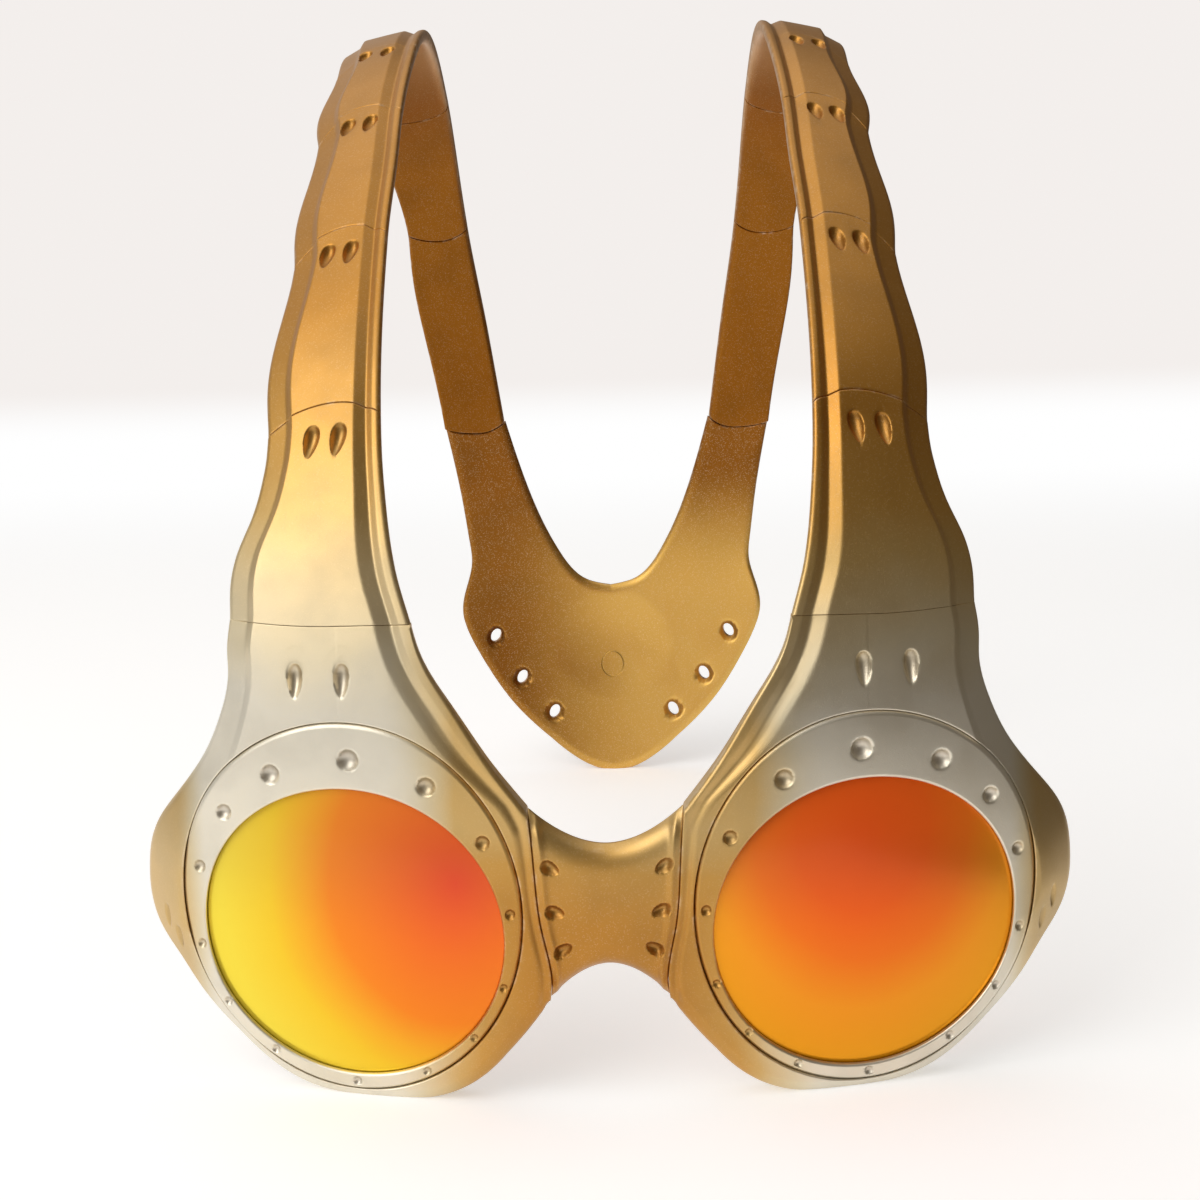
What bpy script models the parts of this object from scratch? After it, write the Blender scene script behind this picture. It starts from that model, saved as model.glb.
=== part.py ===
# Round sunglasses worn over the head: two ring-set mirror lenses, a bridge, and two segmented
# bands that run up over the crown and down the back of the head into one rear plate.
# Metres, +Z up. The front looks along -Y, X = 0 is the plane of symmetry, and the glasses
# stand on Z = 0 on the two rim bottoms and the tip of the rear plate.
import functools
import math

import bmesh
import bpy
import numpy as np
from mathutils import Matrix, Vector

# Driving sizes of the whole object
CURVE_HEIGHT = 0.1794
CURVE_DEPTH = 0.2065
FRONT_TO_ORIGIN = 0.1032
WRAP_RADIUS = 0.190
BRIDGE_HALF_WIDTH = 0.0092
NOSE_WALL = 0.0043
TEMPLE_WALL = 0.0075
BOTTOM_WALL = 0.0008
BROW_HEIGHT = 0.0157
ARM_INNER_REACH = 0.0342
ARM_WIDTH = 0.0150
REAR_HALF_WIDTH = 0.0379

# Walls and clearances
BAND_THICKNESS = 0.0032
EDGE_ROUNDING = 0.0008
PART_GAP = 0.00035
FLOOR_LEVEL = 0.0
FOOT_SINK = 0.0012
FOOT_FADE = 0.0080
REAR_FOOT_SHARE = 0.022

# Relief of the band, measured from its edges
RAIL_WIDTH = 0.0011
RAIL_DROP = 0.0007
GROOVE_REACH = 0.0034
GROOVE_DROP = 0.0011
SLOPE_REACH = 0.0054
FLANK_WIDTH = 0.0045
FLANK_DROP = 0.0022
TEMPLE_FLANK_WIDTH = 0.0072
TEMPLE_FLANK_DROP = 0.0048
LOWER_FLANK_WIDTH = 0.0024
LOWER_FLANK_DROP = 0.0011
SCALLOP_RISE = 0.0012
SEAM_SWEEP = 0.0055
SEAM_LEAD = 0.0024
SEAM_MIDDLE_SHARE = 0.4
SCALLOP_SKEW_SHARE = 0.72
TEMPLE_UP_SHARE = 0.46
TEMPLE_SPREAD_SHARE = 0.24
TEMPLE_RISE_SHARE = 0.60
RIM_THINNING_SHARE = 0.62
SHARP_ANGLE = 35

# Lens and bezel
LENS_RADIUS = 0.0245
LENS_DOME = 0.0019
LENS_THICKNESS = 0.0020
LENS_LIP = 0.0009
BEZEL_SIDE_WIDTH = 0.00325
BEZEL_TOP_WIDTH = 0.0111
BEZEL_BOTTOM_WIDTH = 0.0027
BEZEL_OFFSET = 0.00025
BEZEL_THICKNESS = 0.0016
BEZEL_LIP = 0.0008
BEZEL_CHAMFER = 0.0004
RIM_BACK_DEPTH = 0.0054
LEDGE_WIDTH = 0.0015

BEZEL_HALF_WIDTH = LENS_RADIUS + BEZEL_SIDE_WIDTH
BEZEL_HALF_HEIGHT = LENS_RADIUS + (BEZEL_TOP_WIDTH + BEZEL_BOTTOM_WIDTH) / 2
BEZEL_CENTRE_X = BRIDGE_HALF_WIDTH + NOSE_WALL + BEZEL_HALF_WIDTH
BEZEL_CENTRE_UP = BOTTOM_WALL + BEZEL_HALF_HEIGHT
LENS_CENTRE_X = BEZEL_CENTRE_X - BEZEL_OFFSET
LENS_CENTRE_UP = BEZEL_CENTRE_UP - (BEZEL_TOP_WIDTH - BEZEL_BOTTOM_WIDTH) / 2
FRONT_HALF_WIDTH = BEZEL_CENTRE_X + BEZEL_HALF_WIDTH + TEMPLE_WALL
FRONT_HEIGHT = BEZEL_CENTRE_UP + BEZEL_HALF_HEIGHT + BROW_HEIGHT
SEAT_DEPTH = BEZEL_THICKNESS + PART_GAP
POCKET_DEPTH = BEZEL_LIP + LENS_THICKNESS + 2 * PART_GAP

# Bridge
BRIDGE_TOP = 0.0431
BRIDGE_BOTTOM = 0.0231
BRIDGE_THICKNESS = 0.0046
BRIDGE_ROUND = 0.0022

# Moulded recesses
DIMPLE_BASE = 0.00045
DIMPLE_WIDTH_SHARE = 0.115
DIMPLE_SINK_SHARE = 0.35
DIMPLE_REACH_SHARE = 0.45
TEARDROP_LENGTH = 0.0060
TEARDROP_WIDTH = 0.0026
TEARDROP_DEPTH = 0.0011
BRIDGE_TEARDROP_LENGTH = 0.0036
BRIDGE_TEARDROP_WIDTH = 0.0020
BRIDGE_TEARDROP_TURN = 60
TEMPLE_TEARDROP_LENGTH = 0.0040
TEMPLE_TEARDROP_WIDTH = 0.0017
TEARDROP_SEAM_SHARE = 0.45

# Rear plate holes
HOLE_LENGTH = 0.0036
HOLE_WIDTH = 0.0025
HOLE_TURN = -25
SINK_LENGTH = 0.0052
SINK_WIDTH = 0.0044
SINK_DEPTH = 0.0016

# Tongues that key one band segment to the next
TONGUE_WIDTH = 0.0062
TONGUE_THICKNESS = 0.0009
TONGUE_LENGTH = 0.0034
TONGUE_ROOT = 0.0030
TONGUE_CLEARANCE = 0.0003

# Nose pads
PAD_HEIGHT = 0.0130
PAD_WIDTH = 0.0046
PAD_THICKNESS = 0.0026
PAD_OFFSET = 0.0046
PAD_DROP = 0.0031

# Mesh densities
SEGMENT_STATIONS = 5
CROWN_STATIONS = 9
CROWN_SEGMENT = 4
RIM_SIDE_STEPS = 34
RIM_SEAM_STEPS = 8
LENS_STEPS = 36
BEZEL_STEPS = 56
REAR_STATIONS = 16
BRIDGE_STATIONS = 12

# Middle-plane curve of the band: depth as a share of CURVE_DEPTH, height as a share of CURVE_HEIGHT
CURVE_SHARES = [
    (0.0092, 0.0), (0.0029, 0.078), (0.0, 0.158), (-0.0058, 0.279), (-0.0058, 0.357),
    (0.0039, 0.438), (0.0596, 0.624), (0.174, 0.780), (0.312, 0.907), (0.487, 1.0),
    (0.630, 0.984), (0.7395, 0.9225), (0.869, 0.769), (0.963, 0.506), (0.999, 0.301),
    (1.0, 0.167), (0.983, 0.0),
]

# Seams at the middle of the band, as shares of the arm from the first seam to the rear tip
SEAM_SHARES = [0.0, 0.0974, 0.1957, 0.2854, 0.3526, 0.5197, 0.6241, 0.7635]
# How far each seam bows along the band, as shares of SEAM_SWEEP at its outer end
SEAM_BOW_SHARES = [-0.30, 0.70, 1.0, 1.15, 1.30, 0.45, 0.60, 0.35]

# Station as a share of the arm, then the inner edge's x as a share of ARM_INNER_REACH, or the
# width without its scallops as a share of ARM_WIDTH
INNER_EDGE_SHARES = [
    (0, 0.857), (0.0226, 0.924), (0.0605, 0.974), (0.0926, 0.991), (0.1891, 1),
    (0.2398, 0.985), (0.2832, 0.983), (0.3484, 0.955), (0.3846, 0.945), (0.5101, 0.938),
    (0.6223, 0.905), (0.6983, 0.815), (0.7635, 0.732),
]
ARM_WIDTH_SHARES = [
    (0, 1.99), (0.0105, 1.88), (0.03, 1.65), (0.0503, 1.4), (0.07, 1.285),
    (0.089, 1.245), (0.14, 1.145), (0.1807, 1.075), (0.2663, 1.015), (0.3363, 1),
    (0.45, 0.985), (0.5053, 0.955), (0.56, 0.92), (0.609, 0.895), (0.7587, 0.97),
]
# Rear plate edges: station share, then x as a share of the arm's inner edge at the last seam
REAR_INNER_SHARES = [
    (0.7635, 1), (0.8142, 0.763), (0.8504, 0.52), (0.8708, 0.258), (0.8754, 0),
]
# The same for the outer edge below the last seam, as a share of REAR_HALF_WIDTH
REAR_OUTER_SHARES = [
    (0.8124, 0.968), (0.841, 0.936), (0.856, 0.928), (0.868, 0.955), (0.88, 0.99), (0.8905, 1),
    (0.904, 0.968), (0.92, 0.895), (0.937, 0.8), (0.954, 0.683), (0.97, 0.535), (0.983, 0.385),
    (0.992, 0.25), (0.9975, 0.125), (1, 0),
]
# Which point of the outer edge faces which point of the inner edge
REAR_PAIR_SHARES = [(0.0, 0.0), (0.35, 0.30), (0.60, 0.52), (0.80, 0.74), (1.0, 1.0)]

# Rim outline: degrees about the lens, then the wall outside the bezel as a share of TEMPLE_WALL
RIM_WALL_SHARES = [
    (50, 0.54), (44, 0.502), (38, 0.553), (31, 0.693), (24, 0.863), (17, 0.975), (10, 1.01), (3, 1.003),
    (-5, 0.869), (-14, 0.594), (-24, 0.431), (-35, 0.321), (-47, 0.236), (-58, 0.209), (-70, 0.176),
    (-82, 0.122), (-94, 0.123), (-106, 0.271), (-118, 0.476), (-128, 0.599), (-137, 0.659), (-144, 0.69),
    (-150, 0.736), (-155, 0.791),
]
# From the arm's outer corner down to the first of those, as shares of the way there in x and in height
RIM_SHOULDER_SHARES = [(0.111, 0.208), (0.103, 0.356), (0.368, 0.657)]
# Bridge seam: x as a share of BRIDGE_HALF_WIDTH, height as a share of FRONT_HEIGHT
RIM_BRIDGE_SHARES = [
    (1.033, 0.2196), (1.002, 0.2633), (1.152, 0.3746), (1.228, 0.4601), (1.282, 0.5674), (1.322, 0.6191),
]
# From the top of the bridge seam to the arm's inner corner, as shares of the way there
RIM_INNER_SHARES = [
    (0.186, 0.143), (0.332, 0.263), (0.447, 0.3695), (0.557, 0.476), (0.684, 0.596), (0.835, 0.739),
    (0.939, 0.872),
]

# Dimples round the bezel, in degrees from the outer side towards the top
DIMPLE_ANGLES = [92, 66, 44, 21, -8, -32, -57, -89, -116, -139, -162, 170, 143, 117.5]
# Teardrop pairs below the first five seams: spacing from the seam and from each other
TEARDROP_PAIR_SHARES = [
    (1.45, 0.50, 1.45), (1.12, 0.48, 0.84), (1.05, 0.50, 0.76), (0.95, 0.50, 0.76), (0.70, 0.50, 0.80),
]
TEARDROP_STRETCH_SHARES = [1.0, 1.0, 0.95, 0.9, 0.8]
BRIDGE_TEARDROP_SHARES = [(0.973, 0.85), (0.915, 0.48), (0.848, 0.1375)]
TEMPLE_TEARDROP_SHARES = [(0.951, 0.350), (0.925, 0.310)]
REAR_HOLE_SHARES = [
    (0.9077, 0.787), (0.937, 0.617), (0.9613, 0.404),
]

PARTS = "round_sunglasses"
CUTTERS = "round_sunglasses_cutters"


def clear_scene():
    for item in list(bpy.data.objects):
        bpy.data.objects.remove(item, do_unlink=True)


def collection(name):
    found = bpy.data.collections.get(name)
    if found is None:
        found = bpy.data.collections.new(name)
        bpy.context.scene.collection.children.link(found)
    return found


def material(name, colour, roughness, metallic):
    made = bpy.data.materials.new(name)
    made.use_nodes = True
    shader = made.node_tree.nodes["Principled BSDF"]
    shader.inputs["Base Color"].default_value = (*colour, 1)
    shader.inputs["Roughness"].default_value = roughness
    shader.inputs["Metallic"].default_value = metallic
    return made


class Curve:
    """A smooth curve through given points, read by the distance run from its start."""

    def __init__(self, points):
        self.points = np.array(points, float)
        steps = np.hypot(*np.diff(self.points, axis=0).T)
        self.at = np.concatenate([[0.0], np.cumsum(steps)])
        gaps = np.diff(self.at)
        count = len(self.at)
        system = np.zeros((count, count))
        wanted = np.zeros((count, 2))
        system[0, 0] = system[-1, -1] = 1
        slopes = np.diff(self.points, axis=0) / gaps[:, None]
        for i in range(1, count - 1):
            system[i, i - 1] = gaps[i - 1]
            system[i, i] = 2 * (gaps[i - 1] + gaps[i])
            system[i, i + 1] = gaps[i]
            wanted[i] = 6 * (slopes[i] - slopes[i - 1])
        self.bend = np.linalg.solve(system, wanted)

    def _piece(self, where):
        i = int(np.clip(np.searchsorted(self.at, where) - 1, 0, len(self.at) - 2))
        return i, self.at[i + 1] - self.at[i], where - self.at[i], self.at[i + 1] - where

    def point(self, where):
        i, gap, past, left = self._piece(where)
        bent = (self.bend[i] * left**3 + self.bend[i + 1] * past**3) / (6 * gap)
        start = (self.points[i] / gap - self.bend[i] * gap / 6) * left
        return bent + start + (self.points[i + 1] / gap - self.bend[i + 1] * gap / 6) * past

    def direction(self, where):
        i, gap, past, left = self._piece(where)
        bent = (self.bend[i + 1] * past**2 - self.bend[i] * left**2) / (2 * gap)
        slope = (self.points[i + 1] - self.points[i]) / gap
        way = bent + slope - (self.bend[i + 1] - self.bend[i]) * gap / 6
        return way / np.hypot(*way)


def eased(table, where):
    """A smooth value from a table of (place, value), with no overshoot between its points."""
    xs = np.array([row[0] for row in table], float)
    ys = np.array([row[1] for row in table], float)
    slopes = np.diff(ys) / np.diff(xs)
    tangents = np.concatenate([[slopes[0]], (slopes[1:] + slopes[:-1]) / 2, [slopes[-1]]])
    tangents[1:-1][slopes[1:] * slopes[:-1] <= 0] = 0
    i = int(np.clip(np.searchsorted(xs, where) - 1, 0, len(xs) - 2))
    gap = xs[i + 1] - xs[i]
    part = min(max((where - xs[i]) / gap, 0.0), 1.0)
    rest = 1 - part
    return (
        ys[i] * (1 + 2 * part) * rest**2
        + tangents[i] * gap * part * rest**2
        + ys[i + 1] * part**2 * (3 - 2 * part)
        - tangents[i + 1] * gap * part**2 * rest
    )


MIDDLE = Curve([(CURVE_DEPTH * y, CURVE_HEIGHT * z) for y, z in CURVE_SHARES])
BAND_LENGTH = MIDDLE.at[-1]
ARM_LENGTH = BAND_LENGTH - FRONT_HEIGHT


def place(across, along, raised):
    """World point at a distance along the band, a distance across it, and a height off its surface."""
    y, z = MIDDLE.point(along)
    way_y, way_z = MIDDLE.direction(along)
    lift = raised - across**2 / (2 * WRAP_RADIUS)
    z = max(z + way_y * lift, FLOOR_LEVEL)
    return Vector((across, y - way_z * lift - FRONT_TO_ORIGIN, z))


def grounded(along):
    """Both ends of the band run a little past the floor, which cuts a flat foot there."""
    near = min(max(1 - along / FOOT_FADE, 0.0), 1.0)
    far = min(max(1 - (BAND_LENGTH - along) / FOOT_FADE, 0.0), 1.0)
    return along + FOOT_SINK * (far - near)


def surface_axes(across, along):
    """Directions across, along and out of the band's surface."""
    step = EDGE_ROUNDING
    side = (place(across + step, along, 0.0) - place(across - step, along, 0.0)).normalized()
    way = (place(across, along + step, 0.0) - place(across, along - step, 0.0)).normalized()
    return side, way, side.cross(way).normalized()


def seam_at(index, share):
    """Where seam number index lies along the band, at a share of the way from inner to outer edge."""
    middle = SEAM_MIDDLE_SHARE
    lean = (share - middle) / (1 - middle)
    inward = SEAM_LEAD * (lean * (1 - middle) / middle) ** 2 if share < middle else 0.0
    outward = SEAM_SWEEP * SEAM_BOW_SHARES[index] * lean**2 if share >= middle else 0.0
    if index == 0:
        inward = 0.0
    return FRONT_HEIGHT + ARM_LENGTH * SEAM_SHARES[index] - inward - outward


def scallop(along):
    """How far the outer edge swells between two seams, most a third of the way up."""
    ends = [seam_at(i, 1.0) for i in range(len(SEAM_SHARES))]
    for low, high in zip(ends, ends[1:]):
        if low <= along <= high:
            part = (along - low) / (high - low)
            return SCALLOP_RISE * math.sin(math.pi * part**SCALLOP_SKEW_SHARE) ** 2
    return 0.0


def inner_edge(along):
    return ARM_INNER_REACH * eased(INNER_EDGE_SHARES, (along - FRONT_HEIGHT) / ARM_LENGTH)


def outer_edge(along):
    width = ARM_WIDTH * eased(ARM_WIDTH_SHARES, (along - FRONT_HEIGHT) / ARM_LENGTH)
    return inner_edge(along) + width + scallop(along)


def relief(from_inner, from_outer, flank_width=FLANK_WIDTH, flank_drop=FLANK_DROP):
    """Height of the band's outer face, from the distances to its inner and outer edges."""
    inner_steps = [
        (0.0, -GROOVE_DROP), (RAIL_WIDTH, -RAIL_DROP), (GROOVE_REACH, -GROOVE_DROP), (SLOPE_REACH, 0.0),
    ]
    drop = float(np.interp(from_inner, [s[0] for s in inner_steps], [s[1] for s in inner_steps]))
    part = min(max(from_outer / flank_width, 0.0), 1.0)
    return drop - flank_drop * (1 - part) ** 1.5


def new_object(name, mesh, surface, where=PARTS):
    made = bpy.data.objects.new(name, mesh)
    mesh.materials.append(surface)
    collection(where).objects.link(made)
    return made


def finished(name, body, surface):
    """The object made from a closed mesh, its faces turned outwards."""
    bmesh.ops.recalc_face_normals(body, faces=body.faces)
    if body.calc_volume(signed=True) < 0:
        bmesh.ops.reverse_faces(body, faces=body.faces)
    mesh = bpy.data.meshes.new(name)
    body.to_mesh(mesh)
    body.free()
    mesh.shade_smooth()
    mesh.set_sharp_from_angle(angle=math.radians(SHARP_ANGLE))
    return new_object(name, mesh, surface)


def loft(name, rings, surface, closed=False):
    """A solid skin through closed rings of points; open lofts get caps that pair the two faces."""
    body = bmesh.new()
    rows = [[body.verts.new(point) for point in ring] for ring in rings]
    count = len(rows[0])
    pairs = list(zip(rows, rows[1:]))
    if closed:
        pairs.append((rows[-1], rows[0]))
    for first, second in pairs:
        for i in range(count):
            j = (i + 1) % count
            body.faces.new((first[i], first[j], second[j], second[i]))
    if not closed:
        for row in (rows[0], rows[-1]):
            for i in range(count // 2 - 1):
                body.faces.new((row[i], row[i + 1], row[count - 2 - i], row[count - 1 - i]))
    return finished(name, body, surface)


def section(width, front, thickness=BAND_THICKNESS):
    """Cross-section points as (distance from the inner edge, height), front face then back face."""
    reach = [
        0.0, RAIL_WIDTH, GROOVE_REACH, SLOPE_REACH, width / 2,
        width - FLANK_WIDTH, width - FLANK_WIDTH / 2, width - EDGE_ROUNDING / 2, width,
    ]
    face = [(d, front(d, width - d)) for d in reach]
    face[0] = (0.0, face[0][1] - EDGE_ROUNDING / 2)
    outer_low = -thickness - FLANK_DROP / 4
    back = [(d, -thickness - FLANK_DROP / 4 * (d / width) ** 2) for d in reach]
    back[0] = (0.0, -thickness + EDGE_ROUNDING)
    back[-1] = (width, outer_low + EDGE_ROUNDING / 2)
    return face + back[::-1]


def band_ring(index_low, index_high, part, front=relief):
    """One ring of a band segment, at a share of the way from its lower to its upper seam."""
    middle_low = seam_at(index_low, 0.5)
    middle_high = seam_at(index_high, 0.5)
    middle = middle_low + (middle_high - middle_low) * part
    width = outer_edge(middle) - inner_edge(middle)
    ring = []
    for reach, raised in section(width, front):
        share = reach / width
        low = seam_at(index_low, share) + PART_GAP / 2
        high = seam_at(index_high, share) - PART_GAP / 2
        along = low + (high - low) * part
        inner, outer = inner_edge(along), outer_edge(along)
        ring.append(place(inner + (outer - inner) * share, along, raised))
    return ring


def mirrored(rings):
    return [[Vector((-p.x, p.y, p.z)) for p in ring] for ring in rings]


def cutter_mesh(name, mesh):
    made = bpy.data.objects.new(name, mesh)
    collection(CUTTERS).objects.link(made)
    made.hide_render = True
    made.display_type = "WIRE"
    return made


def frame_matrix(across, along, raised, turn=0.0, side=1):
    """Placement on the band's surface: X across, Y along the band, Z out of it."""
    x_way, y_way, z_way = surface_axes(across, along)
    spin = Matrix.Rotation(turn, 3, "Z")
    axes = Matrix((x_way, y_way, z_way)).transposed() @ spin
    centre = place(across, along, raised)
    world = Matrix.Translation(centre) @ axes.to_4x4()
    if side < 0:
        flip = Matrix.Diagonal((-1, 1, 1, 1))
        world = flip @ world @ flip
    return world


def ellipsoid(name, size, world, steps=10, rings=6):
    """A cutter of full size (x, y, z)."""
    body = bmesh.new()
    bmesh.ops.create_uvsphere(body, u_segments=steps, v_segments=rings, radius=0.5)
    bmesh.ops.scale(body, vec=Vector(size), verts=body.verts)
    mesh = bpy.data.meshes.new(name)
    body.to_mesh(mesh)
    body.free()
    made = cutter_mesh(name, mesh)
    made.matrix_world = world
    return made


def box(name, size, world):
    body = bmesh.new()
    bmesh.ops.create_cube(body, size=1)
    bmesh.ops.scale(body, vec=Vector(size), verts=body.verts)
    mesh = bpy.data.meshes.new(name)
    body.to_mesh(mesh)
    body.free()
    made = cutter_mesh(name, mesh)
    made.matrix_world = world
    return made


def joined(name, pieces):
    """One cutter from several that don't touch each other."""
    body = bmesh.new()
    for piece in pieces:
        part = piece.data.copy()
        part.transform(piece.matrix_world)
        body.from_mesh(part)
        bpy.data.meshes.remove(part)
        bpy.data.objects.remove(piece, do_unlink=True)
    bmesh.ops.recalc_face_normals(body, faces=body.faces)
    mesh = bpy.data.meshes.new(name)
    body.to_mesh(mesh)
    body.free()
    return cutter_mesh(name, mesh)


def boolean(target, tool, operation):
    change = target.modifiers.new(operation.lower(), "BOOLEAN")
    change.operation = operation
    change.solver = "EXACT"
    change.object = tool


def hinge_point(index):
    """Where the line through both arms that a seam flexes about crosses the plane of symmetry."""
    along = seam_at(index, 0.5)
    point = place((inner_edge(along) + outer_edge(along)) / 2, along, -BAND_THICKNESS / 2)
    return Vector((0, point.y, point.z))


def hinge_empties():
    """An empty on each seam's hinge line, each carried by the one before it."""
    made = []
    for index in range(len(SEAM_SHARES)):
        empty = bpy.data.objects.new(f"hinge_{index + 1}", None)
        collection(PARTS).objects.link(empty)
        empty.location = hinge_point(index)
        if made:
            empty.parent = made[-1]
            empty.location -= hinge_point(index - 1)
        made.append(empty)
    return made


def carry(item, empties, index):
    """Hang a piece or a cutter on the empty of the seam at its lower end, where it stands."""
    item.parent = empties[index]
    item.matrix_parent_inverse = Matrix.Translation(-hinge_point(index))


def seam_tools(index, side, word):
    """The tongue that stands out of the lower piece and the socket that takes it in the upper one."""
    along = seam_at(index, 0.5)
    across = (inner_edge(along) + outer_edge(along)) / 2
    world = frame_matrix(across, along, -BAND_THICKNESS / 2, side=side)
    shift = (TONGUE_LENGTH - TONGUE_ROOT) / 2
    length = TONGUE_LENGTH + TONGUE_ROOT
    tongue = box(f"{word}_tongue_{index + 1}", (TONGUE_WIDTH, length, TONGUE_THICKNESS),
                 world @ Matrix.Translation((0, shift, 0)))
    room = 2 * TONGUE_CLEARANCE
    depth = TONGUE_LENGTH + TONGUE_CLEARANCE
    socket = box(f"{word}_socket_{index + 1}", (TONGUE_WIDTH + room, 2 * depth, TONGUE_THICKNESS + room),
                 world)
    return tongue, socket


def teardrop_pair(index, side, word):
    """Two moulded teardrops just below a seam."""
    away, centre_share, spread = TEARDROP_PAIR_SHARES[index]
    stretch = TEARDROP_STRETCH_SHARES[index]
    along = seam_at(index, TEARDROP_SEAM_SHARE) - away * TEARDROP_LENGTH
    middle = inner_edge(along) + (outer_edge(along) - inner_edge(along)) * centre_share
    made = []
    for step in (-1, 1):
        across = middle + step * spread * TEARDROP_WIDTH
        world = frame_matrix(across, along, 0.0, side=side)
        size = (TEARDROP_WIDTH, TEARDROP_LENGTH * stretch, TEARDROP_DEPTH * 2)
        made.append(ellipsoid(f"{word}_drop_{index}_{step}", size, world))
    return made


def temple_teardrops(side, word):
    """Two small teardrops low on the temple bulge, square to its slanting flank."""
    made = []
    for number, (reach, up) in enumerate(TEMPLE_TEARDROP_SHARES):
        across, along = FRONT_HALF_WIDTH * reach, FRONT_HEIGHT * up
        step = TEMPLE_TEARDROP_WIDTH / 2
        height = rim_height((across, along))
        slope = (rim_height((across + step, along)) - rim_height((across - step, along))) / (2 * step)
        world = frame_matrix(across, along, height, side=1) @ Matrix.Rotation(-math.atan(slope), 4, "Y")
        if side < 0:
            flip = Matrix.Diagonal((-1, 1, 1, 1))
            world = flip @ world @ flip
        size = (TEMPLE_TEARDROP_WIDTH, TEMPLE_TEARDROP_LENGTH, TEARDROP_DEPTH)
        made.append(ellipsoid(f"{word}_temple_drop_{number}", size, world))
    return made


def rim_lines():
    """Rim outline in (across, along): the arm seam, outer side, bridge seam and inner side."""
    top = []
    inner_end, outer_end = inner_edge(seam_at(0, 0.0)), outer_edge(seam_at(0, 1.0))
    for i in range(RIM_SEAM_STEPS + 1):
        share = i / RIM_SEAM_STEPS
        top.append((inner_end + (outer_end - inner_end) * share, seam_at(0, share) - PART_GAP / 2))
    seam = np.array(RIM_BRIDGE_SHARES) * np.array([BRIDGE_HALF_WIDTH, FRONT_HEIGHT])
    sides = []
    for degrees, wall in RIM_WALL_SHARES:
        angle = math.radians(degrees)
        reach = ellipse_reach(angle) + TEMPLE_WALL * wall
        sides.append((LENS_CENTRE_X + reach * math.cos(angle), LENS_CENTRE_UP + reach * math.sin(angle)))
    corner = np.array(top[-1])
    shoulder = corner + np.array(RIM_SHOULDER_SHARES) * (np.array(sides[0]) - corner)
    outer = Curve(np.vstack([corner, shoulder, sides, seam[0]]))
    brow = seam[-1] + np.array(RIM_INNER_SHARES) * (np.array(top[0]) - seam[-1])
    inner = Curve(np.vstack([seam[-1], brow, top[0]]))
    return top, outer, Curve(seam), inner


def sampled(curve, count):
    """Evenly spread points on a curve, its two ends included."""
    return [curve.point(curve.at[-1] * i / count) for i in range(count + 1)]


def rim_outline():
    """Closed list of (across, along) round the rim, and which side each point lies on."""
    top, outer, bridge, inner = rim_lines()
    points = [(p, "seam") for p in top[:-1]]
    points += [(p, "outer") for p in sampled(outer, RIM_SIDE_STEPS)[:-1]]
    points += [(p, "bridge") for p in sampled(bridge, RIM_SEAM_STEPS)[:-1]]
    points += [(p, "inner") for p in sampled(inner, RIM_SEAM_STEPS)[:-1]]
    return [(np.array((p[0], grounded(p[1]))), side) for p, side in points]


def distance_to(line, point):
    """Shortest distance from a point to a run of straight steps."""
    starts, ends = line[:-1], line[1:]
    run = ends - starts
    part = ((point - starts) * run).sum(1) / (run * run).sum(1)
    near = starts + np.clip(part, 0, 1)[:, None] * run
    return float(np.hypot(*(near - point).T).min())


def ellipse_reach(angle):
    """Distance from the lens centre to the bezel's outer edge."""
    dx = LENS_CENTRE_X - BEZEL_CENTRE_X
    dz = LENS_CENTRE_UP - BEZEL_CENTRE_UP
    cx, cz = math.cos(angle) / BEZEL_HALF_WIDTH, math.sin(angle) / BEZEL_HALF_HEIGHT
    ex, ez = dx / BEZEL_HALF_WIDTH, dz / BEZEL_HALF_HEIGHT
    a, b, c = cx**2 + cz**2, 2 * (cx * ex + cz * ez), ex**2 + ez**2 - 1
    return (-b + math.sqrt(b * b - 4 * a * c)) / (2 * a)


def flank_sizes(point):
    """Width and drop of the rim's outer flank, widest at the temple and small below the lens."""
    outside = point[0] > LENS_CENTRE_X
    up_share = point[1] / FRONT_HEIGHT
    temple = math.exp(-((up_share - TEMPLE_UP_SHARE) / TEMPLE_SPREAD_SHARE) ** 2) if outside else 0.0
    up = min(max(up_share / TEMPLE_RISE_SHARE, 0.0), 1.0) if outside else 0.0
    width = LOWER_FLANK_WIDTH + (FLANK_WIDTH - LOWER_FLANK_WIDTH) * up
    drop = LOWER_FLANK_DROP + (FLANK_DROP - LOWER_FLANK_DROP) * up
    return width + (TEMPLE_FLANK_WIDTH - width) * temple, drop + (TEMPLE_FLANK_DROP - drop) * temple


@functools.cache
def rim_edges():
    """The rim's outer and inner side as runs of short straight steps."""
    _, outer, _, inner = rim_lines()
    outer_line = np.array([(p[0], grounded(p[1])) for p in sampled(outer, 2 * RIM_SIDE_STEPS)])
    return outer_line, np.array(sampled(inner, 2 * RIM_SEAM_STEPS))


def rim_height(point):
    """Height of the rim's front over the band's surface."""
    outer_line, inner_line = rim_edges()
    width, drop = flank_sizes(point)
    return relief(distance_to(inner_line, point), distance_to(outer_line, point), width, drop)


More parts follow.
